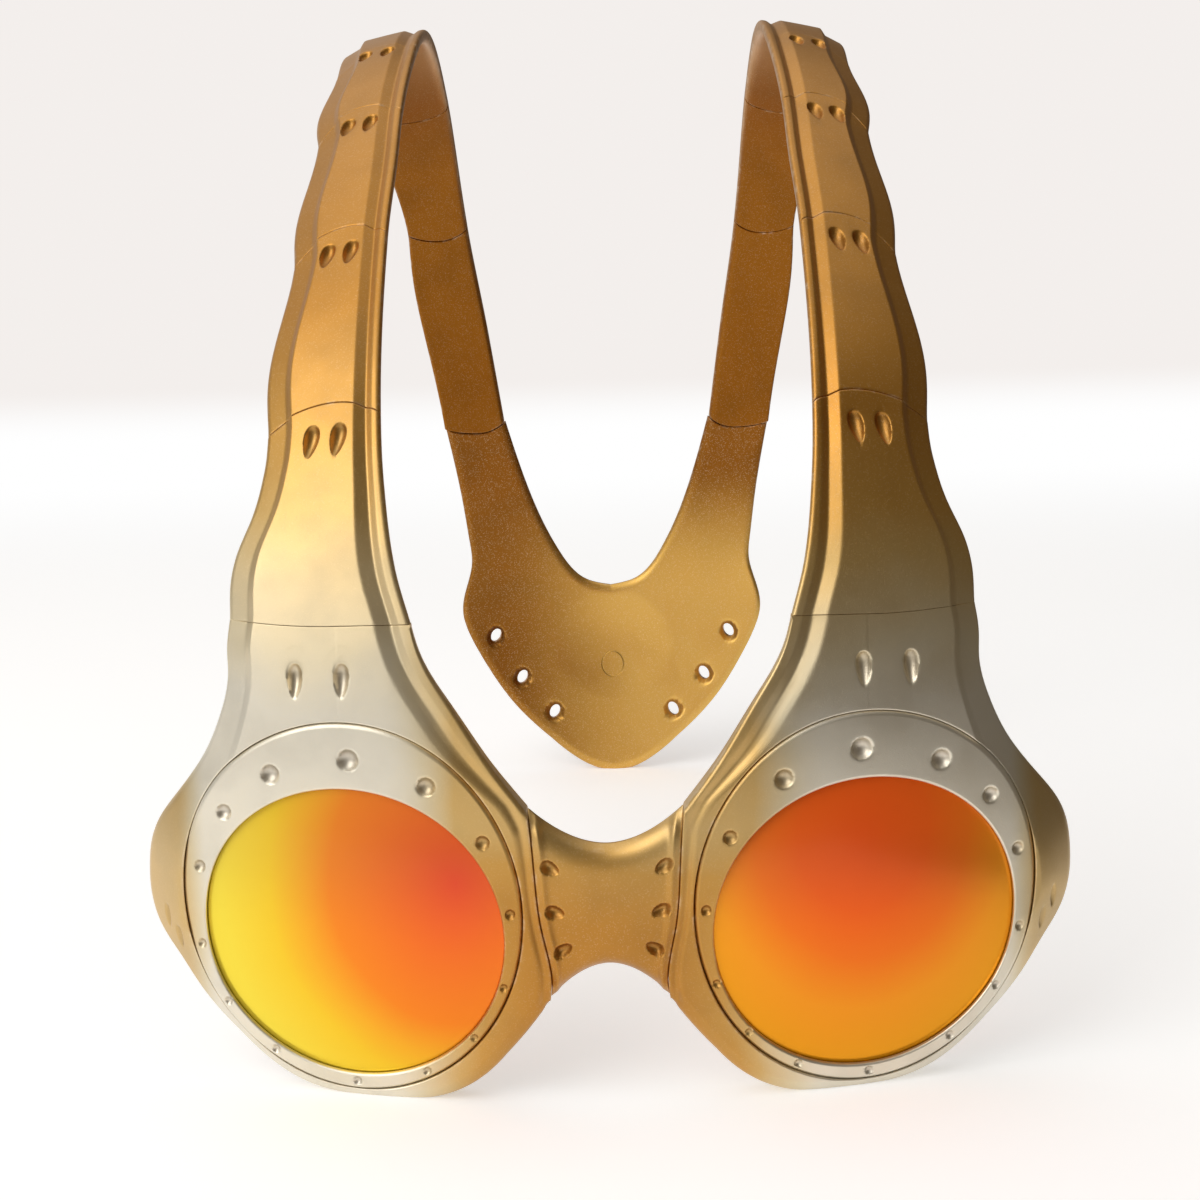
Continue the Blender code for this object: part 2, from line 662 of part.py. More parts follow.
def rim_rings():
    centre = np.array((LENS_CENTRE_X, LENS_CENTRE_UP))
    pocket = LENS_RADIUS + LENS_LIP + PART_GAP
    hole = LENS_RADIUS - LEDGE_WIDTH / 2
    rings = []
    for edge, side in rim_outline():
        ray = edge - centre
        reach = float(np.hypot(*ray))
        ray = ray / reach
        angle = math.atan2(ray[1], ray[0])
        wall = ellipse_reach(angle) + PART_GAP
        room = reach - wall
        steps = [0.0, EDGE_ROUNDING / 2, RAIL_WIDTH, GROOVE_REACH, SLOPE_REACH, TEMPLE_FLANK_WIDTH]
        fit = min(1.0, 0.9 * room / steps[-1])
        front = [reach - step * fit for step in steps] + [wall]
        edge_front = rim_height(edge) - EDGE_ROUNDING / 2
        rise = (edge[1] / FRONT_HEIGHT - RIM_THINNING_SHARE) / (1 - RIM_THINNING_SHARE)
        thin = min(max(rise, 0.0), 1.0)
        if side == "bridge" or (side == "outer" and edge[0] < LENS_CENTRE_X):
            thin = 0.0
        thin = 1.0 if side == "seam" else thin
        edge_back = -RIM_BACK_DEPTH + (RIM_BACK_DEPTH - BAND_THICKNESS) * thin
        edge_low = min(edge_back + EDGE_ROUNDING, edge_front - EDGE_ROUNDING / 2)
        edge_back = min(edge_back, edge_low - EDGE_ROUNDING / 2)
        ring = []
        for number, radius in enumerate(front):
            point = centre + ray * radius
            ring.append(place(point[0], point[1], edge_front if number == 0 else rim_height(point)))
        inside = [
            (wall, -SEAT_DEPTH), (pocket, -SEAT_DEPTH), (pocket, -POCKET_DEPTH), (hole, -POCKET_DEPTH),
            (hole, -RIM_BACK_DEPTH),
        ]
        for radius, raised in inside:
            point = centre + ray * radius
            ring.append(place(point[0], point[1], raised))
        last = centre + ray * (reach - min(EDGE_ROUNDING, room / 2))
        ring.append(place(last[0], last[1], edge_back))
        ring.append(place(edge[0], edge[1], edge_low))
        rings.append(ring)
    return rings


def bezel_rings():
    rings = []
    centre = np.array((LENS_CENTRE_X, LENS_CENTRE_UP))
    for i in range(BEZEL_STEPS):
        angle = 2 * math.pi * i / BEZEL_STEPS
        ray = np.array((math.cos(angle), math.sin(angle)))
        edge = ellipse_reach(angle)
        lip = LENS_RADIUS + LENS_LIP + PART_GAP
        points = [
            (LENS_RADIUS, -BEZEL_LIP), (LENS_RADIUS, -BEZEL_CHAMFER), (LENS_RADIUS + BEZEL_CHAMFER, 0.0),
            (edge - BEZEL_CHAMFER, 0.0), (edge, -BEZEL_CHAMFER), (edge, -BEZEL_THICKNESS),
            (lip, -BEZEL_THICKNESS), (lip, -BEZEL_LIP),
        ]
        ring = []
        for radius, raised in points:
            point = centre + ray * radius
            ring.append(place(point[0], point[1], raised))
        rings.append(ring)
    return rings


def dimple_tools(side, word):
    """Spherical cutters along the middle of the bezel ring, larger where the ring is wide."""
    made = []
    for number, degrees in enumerate(DIMPLE_ANGLES):
        angle = math.radians(degrees)
        width = ellipse_reach(angle) - LENS_RADIUS
        radius = DIMPLE_BASE + DIMPLE_WIDTH_SHARE * width
        reach = LENS_RADIUS + width * DIMPLE_REACH_SHARE
        across = LENS_CENTRE_X + reach * math.cos(angle)
        along = LENS_CENTRE_UP + reach * math.sin(angle)
        world = frame_matrix(across, along, radius * DIMPLE_SINK_SHARE, side=side)
        size = 2 * radius * math.sqrt(1 + DIMPLE_SINK_SHARE**2)
        made.append(ellipsoid(f"{word}_dimple_{number}", (size, size, size), world, 8))
    return made


def bridge_end(share):
    """Point on the bridge seam, from its lower end to its upper end, one gap inside the rim."""
    _, _, bridge, _ = rim_lines()
    point = bridge.point(bridge.at[-1] * share)
    return point[0] - PART_GAP, point[1]


def bridge_rings():
    height_shares = [0.0, 0.08, 0.2, 0.35, 0.5, 0.65, 0.8, 0.92, 1.0]
    rings = []
    for i in range(BRIDGE_STATIONS + 1):
        reach = -1 + 2 * i / BRIDGE_STATIONS
        ring = []
        for back in (False, True):
            for share in (height_shares if not back else height_shares[::-1]):
                end_x, end_up = bridge_end(share)
                start = BRIDGE_BOTTOM + (BRIDGE_TOP - BRIDGE_BOTTOM) * share
                along = start + (end_up - start) * abs(reach) ** 1.9
                near_edge = abs(2 * share - 1) ** 4
                raised = -BRIDGE_ROUND * near_edge
                if back:
                    raised = -BRIDGE_THICKNESS + BRIDGE_ROUND * 0.4 * near_edge
                ring.append(place(end_x * reach, along, raised))
        rings.append(ring)
    return rings


def rear_edges(share):
    """Matching points of the rear plate's inner and outer edge, as (across, along)."""
    start = FRONT_HEIGHT + ARM_LENGTH * SEAM_SHARES[-1]
    first = (FRONT_HEIGHT, 0)
    inner = Curve(first + np.array(REAR_INNER_SHARES) * (ARM_LENGTH, inner_edge(start)))
    below = first + np.array(REAR_OUTER_SHARES) * (ARM_LENGTH, REAR_HALF_WIDTH)
    outer = Curve(np.vstack([(start, outer_edge(start)), below]))
    low = inner.point(inner.at[-1] * share)
    along, across = outer.point(outer.at[-1] * eased(REAR_PAIR_SHARES, share))
    return low[::-1], np.array((across, grounded(along)))


def rear_ring(share, side):
    """One ring across the rear plate, from the U-shaped inner edge to the outer edge."""
    low, high = rear_edges(share)
    width = float(np.hypot(*(high - low)))
    ring = []
    start = seam_at(7, 0.5)
    fade = max(0.0, 1 - share / 0.55)
    for reach, raised in section(width, rear_relief):
        part = reach / width
        across, along = low + (high - low) * part
        along += (seam_at(7, part) + PART_GAP / 2 - start) * fade**2
        ring.append(place(side * max(across, 0.0), along, raised))
    return ring


def rear_relief(from_inner, from_outer):
    """The rear plate is plain, with rounded edges and a soft flank."""
    edge = min(from_inner, from_outer)
    part = min(edge / FLANK_WIDTH, 1.0)
    return -FLANK_DROP / 2 * (1 - part) ** 2


def rear_rings():
    shares = [i / REAR_STATIONS for i in range(REAR_STATIONS)] + [1 - REAR_FOOT_SHARE]
    middle = rear_ring(1.0, 1)
    rings = [rear_ring(share, -1) for share in shares]
    rings.append([Vector((0, p.y, p.z)) for p in middle])
    rings += [rear_ring(share, 1) for share in reversed(shares)]
    return rings


def hole_tools():
    """Slanted oval holes down both sides of the rear plate, with a wider sink on the inner face."""
    made = []
    sinks = []
    for side in (-1, 1):
        for number, (station, reach) in enumerate(REAR_HOLE_SHARES):
            across, along = REAR_HALF_WIDTH * reach, FRONT_HEIGHT + ARM_LENGTH * station
            turn = math.radians(HOLE_TURN)
            body = bmesh.new()
            bmesh.ops.create_cone(body, cap_ends=True, segments=14, radius1=0.5, radius2=0.5, depth=1)
            depth = 2 * BAND_THICKNESS
            bmesh.ops.scale(body, vec=Vector((HOLE_WIDTH, HOLE_LENGTH, depth)), verts=body.verts)
            mesh = bpy.data.meshes.new("rear_hole")
            body.to_mesh(mesh)
            body.free()
            cut = cutter_mesh(f"rear_hole_{side}_{number}", mesh)
            cut.matrix_world = frame_matrix(across, along, -BAND_THICKNESS / 2, turn, side)
            made.append(cut)
            sink_size = (SINK_WIDTH, SINK_LENGTH, 2 * SINK_DEPTH)
            world = frame_matrix(across, along, -BAND_THICKNESS, turn, side)
            sinks.append(ellipsoid(f"rear_sink_{side}_{number}", sink_size, world))
    return made, sinks


def lens(word, side, surface):
    """A domed round lens that follows the wrap of the front, edge first held behind the bezel's lip."""
    edge = LENS_RADIUS + LENS_LIP
    top = -BEZEL_LIP - PART_GAP
    shares = [0.0, 0.4, 0.75, 1.0]
    front = [(edge * share, top + LENS_DOME * (1 - share**2)) for share in shares]
    profile = front + [(radius, raised - LENS_THICKNESS) for radius, raised in reversed(front)]
    body = bmesh.new()
    rows = []
    for radius, raised in profile:
        row = []
        for i in range(LENS_STEPS if radius > 0 else 1):
            angle = 2 * math.pi * i / LENS_STEPS
            across = LENS_CENTRE_X + radius * math.cos(angle)
            point = place(across, LENS_CENTRE_UP + radius * math.sin(angle), raised)
            row.append(body.verts.new((side * point.x, point.y, point.z)))
        rows.append(row)
    for first, second in zip(rows, rows[1:]):
        for i in range(LENS_STEPS):
            j = (i + 1) % LENS_STEPS
            near, far = len(first), len(second)
            corners = [first[i % near], first[j % near], second[j % far], second[i % far]]
            body.faces.new(list(dict.fromkeys(corners)))
    return finished(f"{word}_lens", body, surface)


def nose_pad(word, side, surface):
    """A soft pad behind the rim beside the bridge."""
    body = bmesh.new()
    bmesh.ops.create_uvsphere(body, u_segments=14, v_segments=8, radius=0.5)
    bmesh.ops.scale(body, vec=Vector((PAD_WIDTH, PAD_HEIGHT, PAD_THICKNESS)), verts=body.verts)
    half = bmesh.ops.bisect_plane(
        body, geom=body.verts[:] + body.edges[:] + body.faces[:], plane_co=(0, 0, 0), plane_no=(0, 0, 1),
        clear_outer=True,
    )
    rim = [e for e in half["geom_cut"] if isinstance(e, bmesh.types.BMEdge)]
    bmesh.ops.contextual_create(body, geom=rim)
    bmesh.ops.recalc_face_normals(body, faces=body.faces)
    mesh = bpy.data.meshes.new(f"{word}_nose_pad")
    body.to_mesh(mesh)
    body.free()
    mesh.shade_smooth()
    made = new_object(f"{word}_nose_pad", mesh, surface)
    across = BRIDGE_HALF_WIDTH + PAD_OFFSET
    along = (BRIDGE_TOP + BRIDGE_BOTTOM) / 2 - PAD_DROP
    made.matrix_world = frame_matrix(across, along, -RIM_BACK_DEPTH - PART_GAP, side=side)
    return made


def build():
    clear_scene()
    bronze = material("bronze_paint", (0.42, 0.21, 0.055), 0.38, 0.8)
    champagne = material("champagne_paint", (0.62, 0.53, 0.38), 0.34, 0.8)
    mirror = material("fire_mirror", (1.0, 0.36, 0.05), 0.08, 0.9)
    rubber = material("pad_rubber", (0.03, 0.03, 0.035), 0.7, 0.0)

    empties = hinge_empties()
    last_seam = len(SEAM_SHARES) - 1
    plate = loft("rear_plate", rear_rings(), bronze)
    for word, side in (("left", -1), ("right", 1)):
        rim = rim_rings()
        pieces = [loft(f"{word}_rim", rim if side > 0 else mirrored(rim), champagne, closed=True)]
        for index in range(last_seam):
            steps = CROWN_STATIONS if index == CROWN_SEGMENT else SEGMENT_STATIONS
            rings = [band_ring(index, index + 1, i / steps) for i in range(steps + 1)]
            if side < 0:
                rings = mirrored(rings)
            piece = loft(f"{word}_arm_segment_{index + 1}", rings, bronze)
            carry(piece, empties, index)
            pieces.append(piece)
        pieces.append(plate)
        for index in range(last_seam + 1):
            tongue, socket = seam_tools(index, side, word)
            boolean(pieces[index], tongue, "UNION")
            boolean(pieces[index + 1], socket, "DIFFERENCE")
            carry(socket, empties, index)
            if index > 0:
                carry(tongue, empties, index - 1)
        for index in range(len(TEARDROP_PAIR_SHARES)):
            drops = joined(f"{word}_teardrops_{index + 1}", teardrop_pair(index, side, word))
            boolean(pieces[index], drops, "DIFFERENCE")
            if index > 0:
                carry(drops, empties, index - 1)
        drops = joined(f"{word}_temple_teardrops", temple_teardrops(side, word))
        boolean(pieces[0], drops, "DIFFERENCE")

        bezel = bezel_rings()
        ring_plate = loft(f"{word}_bezel", bezel if side > 0 else mirrored(bezel), champagne, closed=True)
        boolean(ring_plate, joined(f"{word}_dimples", dimple_tools(side, word)), "DIFFERENCE")
        lens(word, side, mirror)
        nose_pad(word, side, rubber)

    carry(plate, empties, last_seam)
    holes, sinks = hole_tools()
    for name, tools in (("rear_holes", holes), ("rear_sinks", sinks)):
        cut = joined(name, tools)
        boolean(plate, cut, "DIFFERENCE")
        carry(cut, empties, last_seam)

    bridge = loft("bridge", bridge_rings(), bronze)
    drops = []
    for side in (-1, 1):
        for number, (reach, up) in enumerate(BRIDGE_TEARDROP_SHARES):
            turn = math.radians(BRIDGE_TEARDROP_TURN)
            along = BRIDGE_BOTTOM + (BRIDGE_TOP - BRIDGE_BOTTOM) * up
            world = frame_matrix(BRIDGE_HALF_WIDTH * reach, along, 0.0, turn, side)
            size = (BRIDGE_TEARDROP_WIDTH, BRIDGE_TEARDROP_LENGTH, TEARDROP_DEPTH * 2)
            drops.append(ellipsoid(f"bridge_drop_{side}_{number}", size, world))
    boolean(bridge, joined("bridge_teardrops", drops), "DIFFERENCE")


build()
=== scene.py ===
# Round sunglasses worn over the head: the painted shells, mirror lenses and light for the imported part.
# Metres, +Z up. The front looks along -Y and X = 0 is the plane of symmetry.
import math

import bmesh
import bpy
import numpy as np
from mathutils import Matrix


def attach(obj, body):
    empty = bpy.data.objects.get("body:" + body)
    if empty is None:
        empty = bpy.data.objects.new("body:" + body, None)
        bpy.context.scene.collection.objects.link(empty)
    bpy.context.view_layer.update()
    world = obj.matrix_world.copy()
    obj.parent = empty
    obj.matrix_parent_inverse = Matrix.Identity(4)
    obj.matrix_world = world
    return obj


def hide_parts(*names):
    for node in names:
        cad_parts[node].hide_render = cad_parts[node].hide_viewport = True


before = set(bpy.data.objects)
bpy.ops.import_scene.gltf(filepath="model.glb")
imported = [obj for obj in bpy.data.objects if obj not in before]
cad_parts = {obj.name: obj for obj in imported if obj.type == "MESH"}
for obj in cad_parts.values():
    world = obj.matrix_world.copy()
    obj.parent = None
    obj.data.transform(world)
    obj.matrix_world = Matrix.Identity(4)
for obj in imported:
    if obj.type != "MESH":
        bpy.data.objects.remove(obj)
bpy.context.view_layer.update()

# Sizes of the whole object
CURVE_HEIGHT = 0.1794
CURVE_DEPTH = 0.2065
FRONT_TO_ORIGIN = 0.1032
WRAP_RADIUS = 0.190
BRIDGE_HALF_WIDTH = 0.0092
NOSE_WALL = 0.0043
TEMPLE_WALL = 0.0075
BOTTOM_WALL = 0.0008
BROW_HEIGHT = 0.0157
ARM_INNER_REACH = 0.0342
ARM_WIDTH = 0.0150
REAR_HALF_WIDTH = 0.0379
BAND_THICKNESS = 0.0032
FOOT_SINK = 0.0012
FOOT_FADE = 0.0080

# Cracks and roundings between and round the pieces
SEAM_CRACK = 0.0001
FIRST_CRACK = 0.00004
SEAM_LAP = 0.0004
BRIDGE_CRACK = 0.00004
BEZEL_CRACK = 0.00012
SEAM_ROUND = 0.00024
FIRST_SEAM_SHARE = 0.2
SEAM_SWELL = 0.00014
SEAM_SWELL_REACH = 0.0022
INNER_ROUND = 0.0008
OUTER_ROUND = 0.0006
BACK_ROUND = 0.0013
REAR_ROUND = 0.0024
CREASE_ROUND = 0.00016
RIM_CREASE_ROUND = 0.0007
CORNER_BLEND = 0.0022

# Relief of the band, measured from its inner and outer edges
RAIL_REACH = 0.0014
RAIL_DROP = 0.0005
GROOVE_REACH = 0.0025
GROOVE_DROP = 0.0011
SLOPE_REACH = 0.0045
FLANK_WIDTH = 0.0044
FLANK_DROP = 0.0022
FLANK_BEND = 1.3
FOLD_SHARE = 0.79
FOLD_DROP_SHARE = 0.55
FOLD_START = 0.052
FOLD_END = 0.072
TEMPLE_FLANK_WIDTH = 0.0066
TEMPLE_FLANK_DROP = 0.0048
LOWER_FLANK_WIDTH = 0.0024
LOWER_FLANK_DROP = 0.0011

# Bowed seams, the scalloped outer edge between them, and where the rim's flank and back change
SCALLOP_RISE = 0.0012
SEAM_SWEEP = 0.0055
SEAM_LEAD = 0.0024
SEAM_MIDDLE_SHARE = 0.4
SCALLOP_SKEW_SHARE = 0.72
TEMPLE_UP_SHARE = 0.46
TEMPLE_SPREAD_SHARE = 0.24
TEMPLE_RISE_SHARE = 0.60
RIM_THINNING_SHARE = 0.62
RELIEF_DROP_LEAST = 0.6

# Shares of the room between the bezel and the rim's edge that the edge relief and the roundings may take
EDGE_ROOM = 0.80
SEAT_ROOM = 0.15
EDGE_ROUND_ROOM = 0.4
SEAT_ROUND_ROOM = 0.2

# Lens and bezel
LENS_RADIUS = 0.0245
LENS_DOME = 0.0019
LENS_THICKNESS = 0.0020
LENS_LIP = 0.0009
BEZEL_SIDE_WIDTH = 0.00325
BEZEL_TOP_WIDTH = 0.0111
BEZEL_BOTTOM_WIDTH = 0.0027
BEZEL_OFFSET = 0.00025
BEZEL_THICKNESS = 0.0016
BEZEL_LIP = 0.0008
BEZEL_BEVEL = 0.00062
BEZEL_BEVEL_DROP = 0.00045
BEZEL_BEVEL_STEPS = (-0.42, -0.85, -1.15)
HOLE_BEVEL = 0.00035
RIM_BACK_DEPTH = 0.0054
LEDGE_WIDTH = 0.0015
SEAT_GAP = 0.00035

BEZEL_HALF_WIDTH = LENS_RADIUS + BEZEL_SIDE_WIDTH
BEZEL_HALF_HEIGHT = LENS_RADIUS + (BEZEL_TOP_WIDTH + BEZEL_BOTTOM_WIDTH) / 2
BEZEL_CENTRE_X = BRIDGE_HALF_WIDTH + NOSE_WALL + BEZEL_HALF_WIDTH
BEZEL_CENTRE_UP = BOTTOM_WALL + BEZEL_HALF_HEIGHT
LENS_CENTRE_X = BEZEL_CENTRE_X - BEZEL_OFFSET
LENS_CENTRE_UP = BEZEL_CENTRE_UP - (BEZEL_TOP_WIDTH - BEZEL_BOTTOM_WIDTH) / 2
FRONT_HALF_WIDTH = BEZEL_CENTRE_X + BEZEL_HALF_WIDTH + TEMPLE_WALL
FRONT_HEIGHT = BEZEL_CENTRE_UP + BEZEL_HALF_HEIGHT + BROW_HEIGHT
SEAT_DEPTH = BEZEL_THICKNESS + SEAT_GAP
POCKET_DEPTH = BEZEL_LIP + LENS_THICKNESS + 2 * SEAT_GAP
POCKET_RADIUS = LENS_RADIUS + LENS_LIP + SEAT_GAP

# Bridge
BRIDGE_TOP = 0.0431
BRIDGE_BOTTOM = 0.0231
BRIDGE_THICKNESS = 0.0046
BRIDGE_ROUND = 0.0026
BRIDGE_RIDGE = 0.0005
BRIDGE_RIDGE_REACH = 0.0010
BRIDGE_RIDGE_WIDTH = 0.0005
# The band along the bridge's top that the edge rub paints lighter, as a painted highlight
BRIDGE_LIP_WIDTH = 0.0024
BRIDGE_LIP_HIGHLIGHT = 0.6
BRIDGE_LIP_FALL = 1.7
BRIDGE_WAIST_BEND = 1.9
BRIDGE_EDGE_BEND = 8
BRIDGE_BACK_ROUND_SHARE = 0.4

# Moulded recesses
DIMPLE_BASE = 0.00045
DIMPLE_WIDTH_SHARE = 0.115
DIMPLE_DEPTH_SHARE = 0.72
DIMPLE_REACH_SHARE = 0.45
TEARDROP_LENGTH = 0.0054
TEARDROP_WIDTH = 0.0031
TEARDROP_DEPTH = 0.0015
TEARDROP_SPACING = 0.0060
TEARDROP_SPREAD = 0.0026
TEARDROP_SEAM_SHARE = 0.45
TEARDROP_TAPER = 0.45
BRIDGE_TEARDROP_LENGTH = 0.0033
BRIDGE_TEARDROP_WIDTH = 0.0023
BRIDGE_TEARDROP_DEPTH_SHARE = 0.7
BRIDGE_TEARDROP_TAPER = 0.25
TEMPLE_TEARDROP_LENGTH = 0.0040
TEMPLE_TEARDROP_WIDTH = 0.0017
TEMPLE_TEARDROP_DEPTH = 0.0007
TEMPLE_TEARDROP_TAPER = 0.4
TEMPLE_TEARDROP_TURN = 8
TEARDROP_SPAN_SHARE = 0.6
DENT_SOFTNESS = 0.06
DENT_FULLNESS = 0.65
DENT_REACH = 0.0020
TAIL_END = 1.2
NARROWEST = 0.1
MARK_WAYS = ("across_way", "along_way", "out_way", "mark_size")

# Rear plate holes
HOLE_LENGTH = 0.0036
HOLE_WIDTH = 0.0025
HOLE_TURN = -25
SINK_LENGTH = 0.0052
SINK_WIDTH = 0.0044
SINK_DEPTH = 0.0021
HOLE_CORNERS = 40
REAR_ARM_LENGTH = 0.060
REAR_SEAM_SHARE = 0.55

# Dish in the middle of the rear plate's inner face, and the plain ring pressed into it
DISH_HALF_WIDTH = 0.0155
DISH_HALF_HEIGHT = 0.0145
DISH_DEPTH = 0.0008
DISH_BEND = 1.4
DISH_UP = 0.0325
RING_UP = 0.0270
RING_RADIUS = 0.0032
RING_LINE = 0.00028
RING_SQUEEZE = 1.15

# Table top, wall, the room that the paint reflects, and the camera
FLOOR_END = 1.45
FLOOR_CORNERS = [(-1.2, -0.25, 0), (0.10, -0.25, 0), (0.70, FLOOR_END, 0), (-1.2, FLOOR_END, 0)]
FLOOR_LIFT = 0.38
TABLE_SHADE = (0.86, 0.86, 0.87, 1)
TABLE_COLOUR = (0.90, 0.90, 0.90, 1)
WALL_COLOUR = (0.90, 0.862, 0.84, 1)
ROOM_BRIGHT = (1.0, 0.98, 0.95, 1)
ROOM_DARK = (0.17, 0.145, 0.115, 1)
ROOM_SIDE = (0.55, 0.54, 0.52, 1)
ROOM_STRENGTH = 0.68
CAMERA_AT = (0.00431, -0.3968, 0.13812)
CAMERA_TURNS = (10.752, -0.833, -1.536)
CAMERA_SENSOR = 36
CAMERA_LENS = 59.2

# Mesh densities
FINE_STEP = 0.00016
PANEL_STEP = 0.0002
COARSE_STEP = 0.0008
BACK_COLUMNS = 22
RIM_COLUMNS = 24
SEAM_SIDE_STEPS = 130
OUTER_SIDE_STEPS = 430
BRIDGE_SIDE_STEPS = 70
INNER_SIDE_STEPS = 130
OUTER_SAMPLES = 160
BRIDGE_SAMPLES = 24
INNER_SAMPLES = 48
RIM_BACK_ROWS = 9
TURN_ROWS = 6
BEZEL_STEPS = 720
BEZEL_ROWS = 40
LENS_STEPS = 192
LENS_ROWS = 48
LENS_ROW_BEND = 0.8
BRIDGE_STATIONS = 225
BRIDGE_ROWS = 144
REAR_STATIONS = 160
REAR_ROWS = 108
SHARP_ANGLE = 40

# Middle-plane curve of the band: depth as a share of CURVE_DEPTH, height as a share of CURVE_HEIGHT
CURVE_SHARES = [
    (0.0092, 0.0), (0.0029, 0.078), (0.0, 0.158), (-0.0058, 0.279), (-0.0058, 0.357),
    (0.0039, 0.438), (0.0596, 0.624), (0.174, 0.780), (0.312, 0.907), (0.487, 1.0),
    (0.630, 0.984), (0.7395, 0.9225), (0.869, 0.769), (0.963, 0.506), (0.999, 0.301),
    (1.0, 0.167), (0.983, 0.0),
]
# Seams at the middle of the band, as shares of the arm from the first seam to the rear tip
SEAM_SHARES = [0.0, 0.0974, 0.1957, 0.2854, 0.3526, 0.5197, 0.6241, 0.7635]
LAST_SEAM = 7
SEAM_BOW_SHARES = [-0.30, 0.70, 1.0, 1.15, 1.30, 0.45, 0.60, 0.35]
# Station share of the arm, then the inner edge as a share of ARM_INNER_REACH, or the width of ARM_WIDTH
INNER_EDGE_SHARES = [
    (0, 0.857), (0.0226, 0.924), (0.0605, 0.974), (0.0926, 0.991), (0.1891, 1),
    (0.2398, 0.985), (0.2832, 0.983), (0.3484, 0.955), (0.3846, 0.945), (0.5101, 0.938),
    (0.6223, 0.905), (0.6983, 0.815), (0.7635, 0.732),
]
ARM_WIDTH_SHARES = [
    (0, 1.99), (0.0105, 1.88), (0.03, 1.65), (0.0503, 1.4), (0.07, 1.285),
    (0.089, 1.245), (0.14, 1.145), (0.1807, 1.075), (0.2663, 1.015), (0.3363, 1),
    (0.45, 0.985), (0.5053, 0.955), (0.56, 0.92), (0.609, 0.895), (0.7587, 0.97),
]
REAR_INNER_SHARES = [
    (0.7635, 1), (0.8142, 0.763), (0.8504, 0.52), (0.8708, 0.258), (0.8754, 0),
]
REAR_OUTER_SHARES = [
    (0.8124, 0.968), (0.841, 0.936), (0.856, 0.928), (0.868, 0.955), (0.88, 0.99), (0.8905, 1),
    (0.904, 0.968), (0.92, 0.895), (0.937, 0.8), (0.954, 0.683), (0.97, 0.535), (0.983, 0.385),
    (0.992, 0.25), (0.9975, 0.125), (1, 0),
]
# Share of the way round the rear plate's inner edge, then the share of its outer edge that faces it
REAR_PAIR_SHARES = [(0.0, 0.0), (0.35, 0.30), (0.60, 0.52), (0.80, 0.74), (1.0, 1.0)]
# Rim outline: degrees about the lens, then the wall outside the bezel as a share of TEMPLE_WALL
RIM_WALL_SHARES = [
    (50, 0.54), (44, 0.502), (38, 0.553), (31, 0.693), (24, 0.863), (17, 0.975), (10, 1.01), (3, 1.003),
    (-5, 0.869), (-14, 0.594), (-24, 0.431), (-35, 0.321), (-47, 0.236), (-58, 0.209), (-70, 0.176),
    (-82, 0.122), (-94, 0.123), (-106, 0.271), (-118, 0.476), (-128, 0.599), (-137, 0.659), (-144, 0.69),
    (-150, 0.736), (-155, 0.791),
]
# From the arm's outer corner to the outline's start, down the bridge seam, and from there up to the arm
RIM_SHOULDER_SHARES = [(0.111, 0.208), (0.103, 0.356), (0.368, 0.657)]
RIM_BRIDGE_SHARES = [
    (1.033, 0.2196), (1.002, 0.2633), (1.152, 0.3746), (1.228, 0.4601), (1.282, 0.5674), (1.322, 0.6191),
]
RIM_INNER_SHARES = [
    (0.186, 0.143), (0.332, 0.263), (0.447, 0.3695), (0.557, 0.476), (0.684, 0.596), (0.835, 0.739),
    (0.939, 0.872),
]
# How wide the edge relief is, by height up the band, as a share of the arm's
RELIEF_SHARES = [(0.0, 0.52), (0.050, 0.62), (0.062, 1.25), (0.085, 1.25), (0.105, 1.0), (0.20, 0.95), (0.5, 0.9)]
# Degrees about the lens, from +X round to +Z
DIMPLE_ANGLES = [92, 66, 44, 21, -8, -32, -57, -89, -116, -139, -162, 170, 143, 117.5]
# Teardrop pairs below the first five seams: spacing from the seam, share across, spread, length and turn
TEARDROP_PAIRS = [
    (1.45, 0.50, 1.45, 1.0, 2), (1.12, 0.48, 0.84, 1.0, 12), (1.05, 0.50, 0.76, 0.95, 12),
    (0.95, 0.50, 0.76, 0.9, 14), (0.70, 0.50, 0.80, 0.8, 14),
]
# Teardrops of the bridge: reach and height shares, then the turn of the pointed end. The others: reach and height,
# or station and reach, as shares
BRIDGE_TEARDROPS = [(0.973, 0.85, -58), (0.915, 0.48, -72), (0.79, 0.16, -121)]
TEMPLE_TEARDROP_SHARES = [(0.951, 0.350), (0.925, 0.310)]
REAR_HOLE_SHARES = [(0.9077, 0.787), (0.937, 0.617), (0.9613, 0.404)]

# Paint from the bronze of the arms to the champagne of the rims, and each lens from its deepest red outwards
PAINT_COATS = [
    (0.0, (0.520, 0.235, 0.030, 1)), (0.33, (0.600, 0.325, 0.070, 1)), (0.50, (0.650, 0.425, 0.150, 1)),
    (0.64, (0.700, 0.530, 0.275, 1)), (0.81, (0.750, 0.640, 0.430, 1)), (1.0, (0.830, 0.770, 0.640, 1)),
]
FADE_DRIFT = 0.012
BROW_HIGHLIGHT_SHARE = 0.5
TEMPLE_FADE_WIDTH = 0.006
# Painted highlight: lighter gold on the lower middle and right of the rear plate's inner face
PLATE_HIGHLIGHT_LIFT = 0.6
CLOUD_SHADE = (0.80, 0.80, 0.80, 1)
# Painted shade on the inner faces of the band's back, which less light reaches
INSIDE_PAINTED_SHADE = (0.58, 0.46, 0.25, 1)
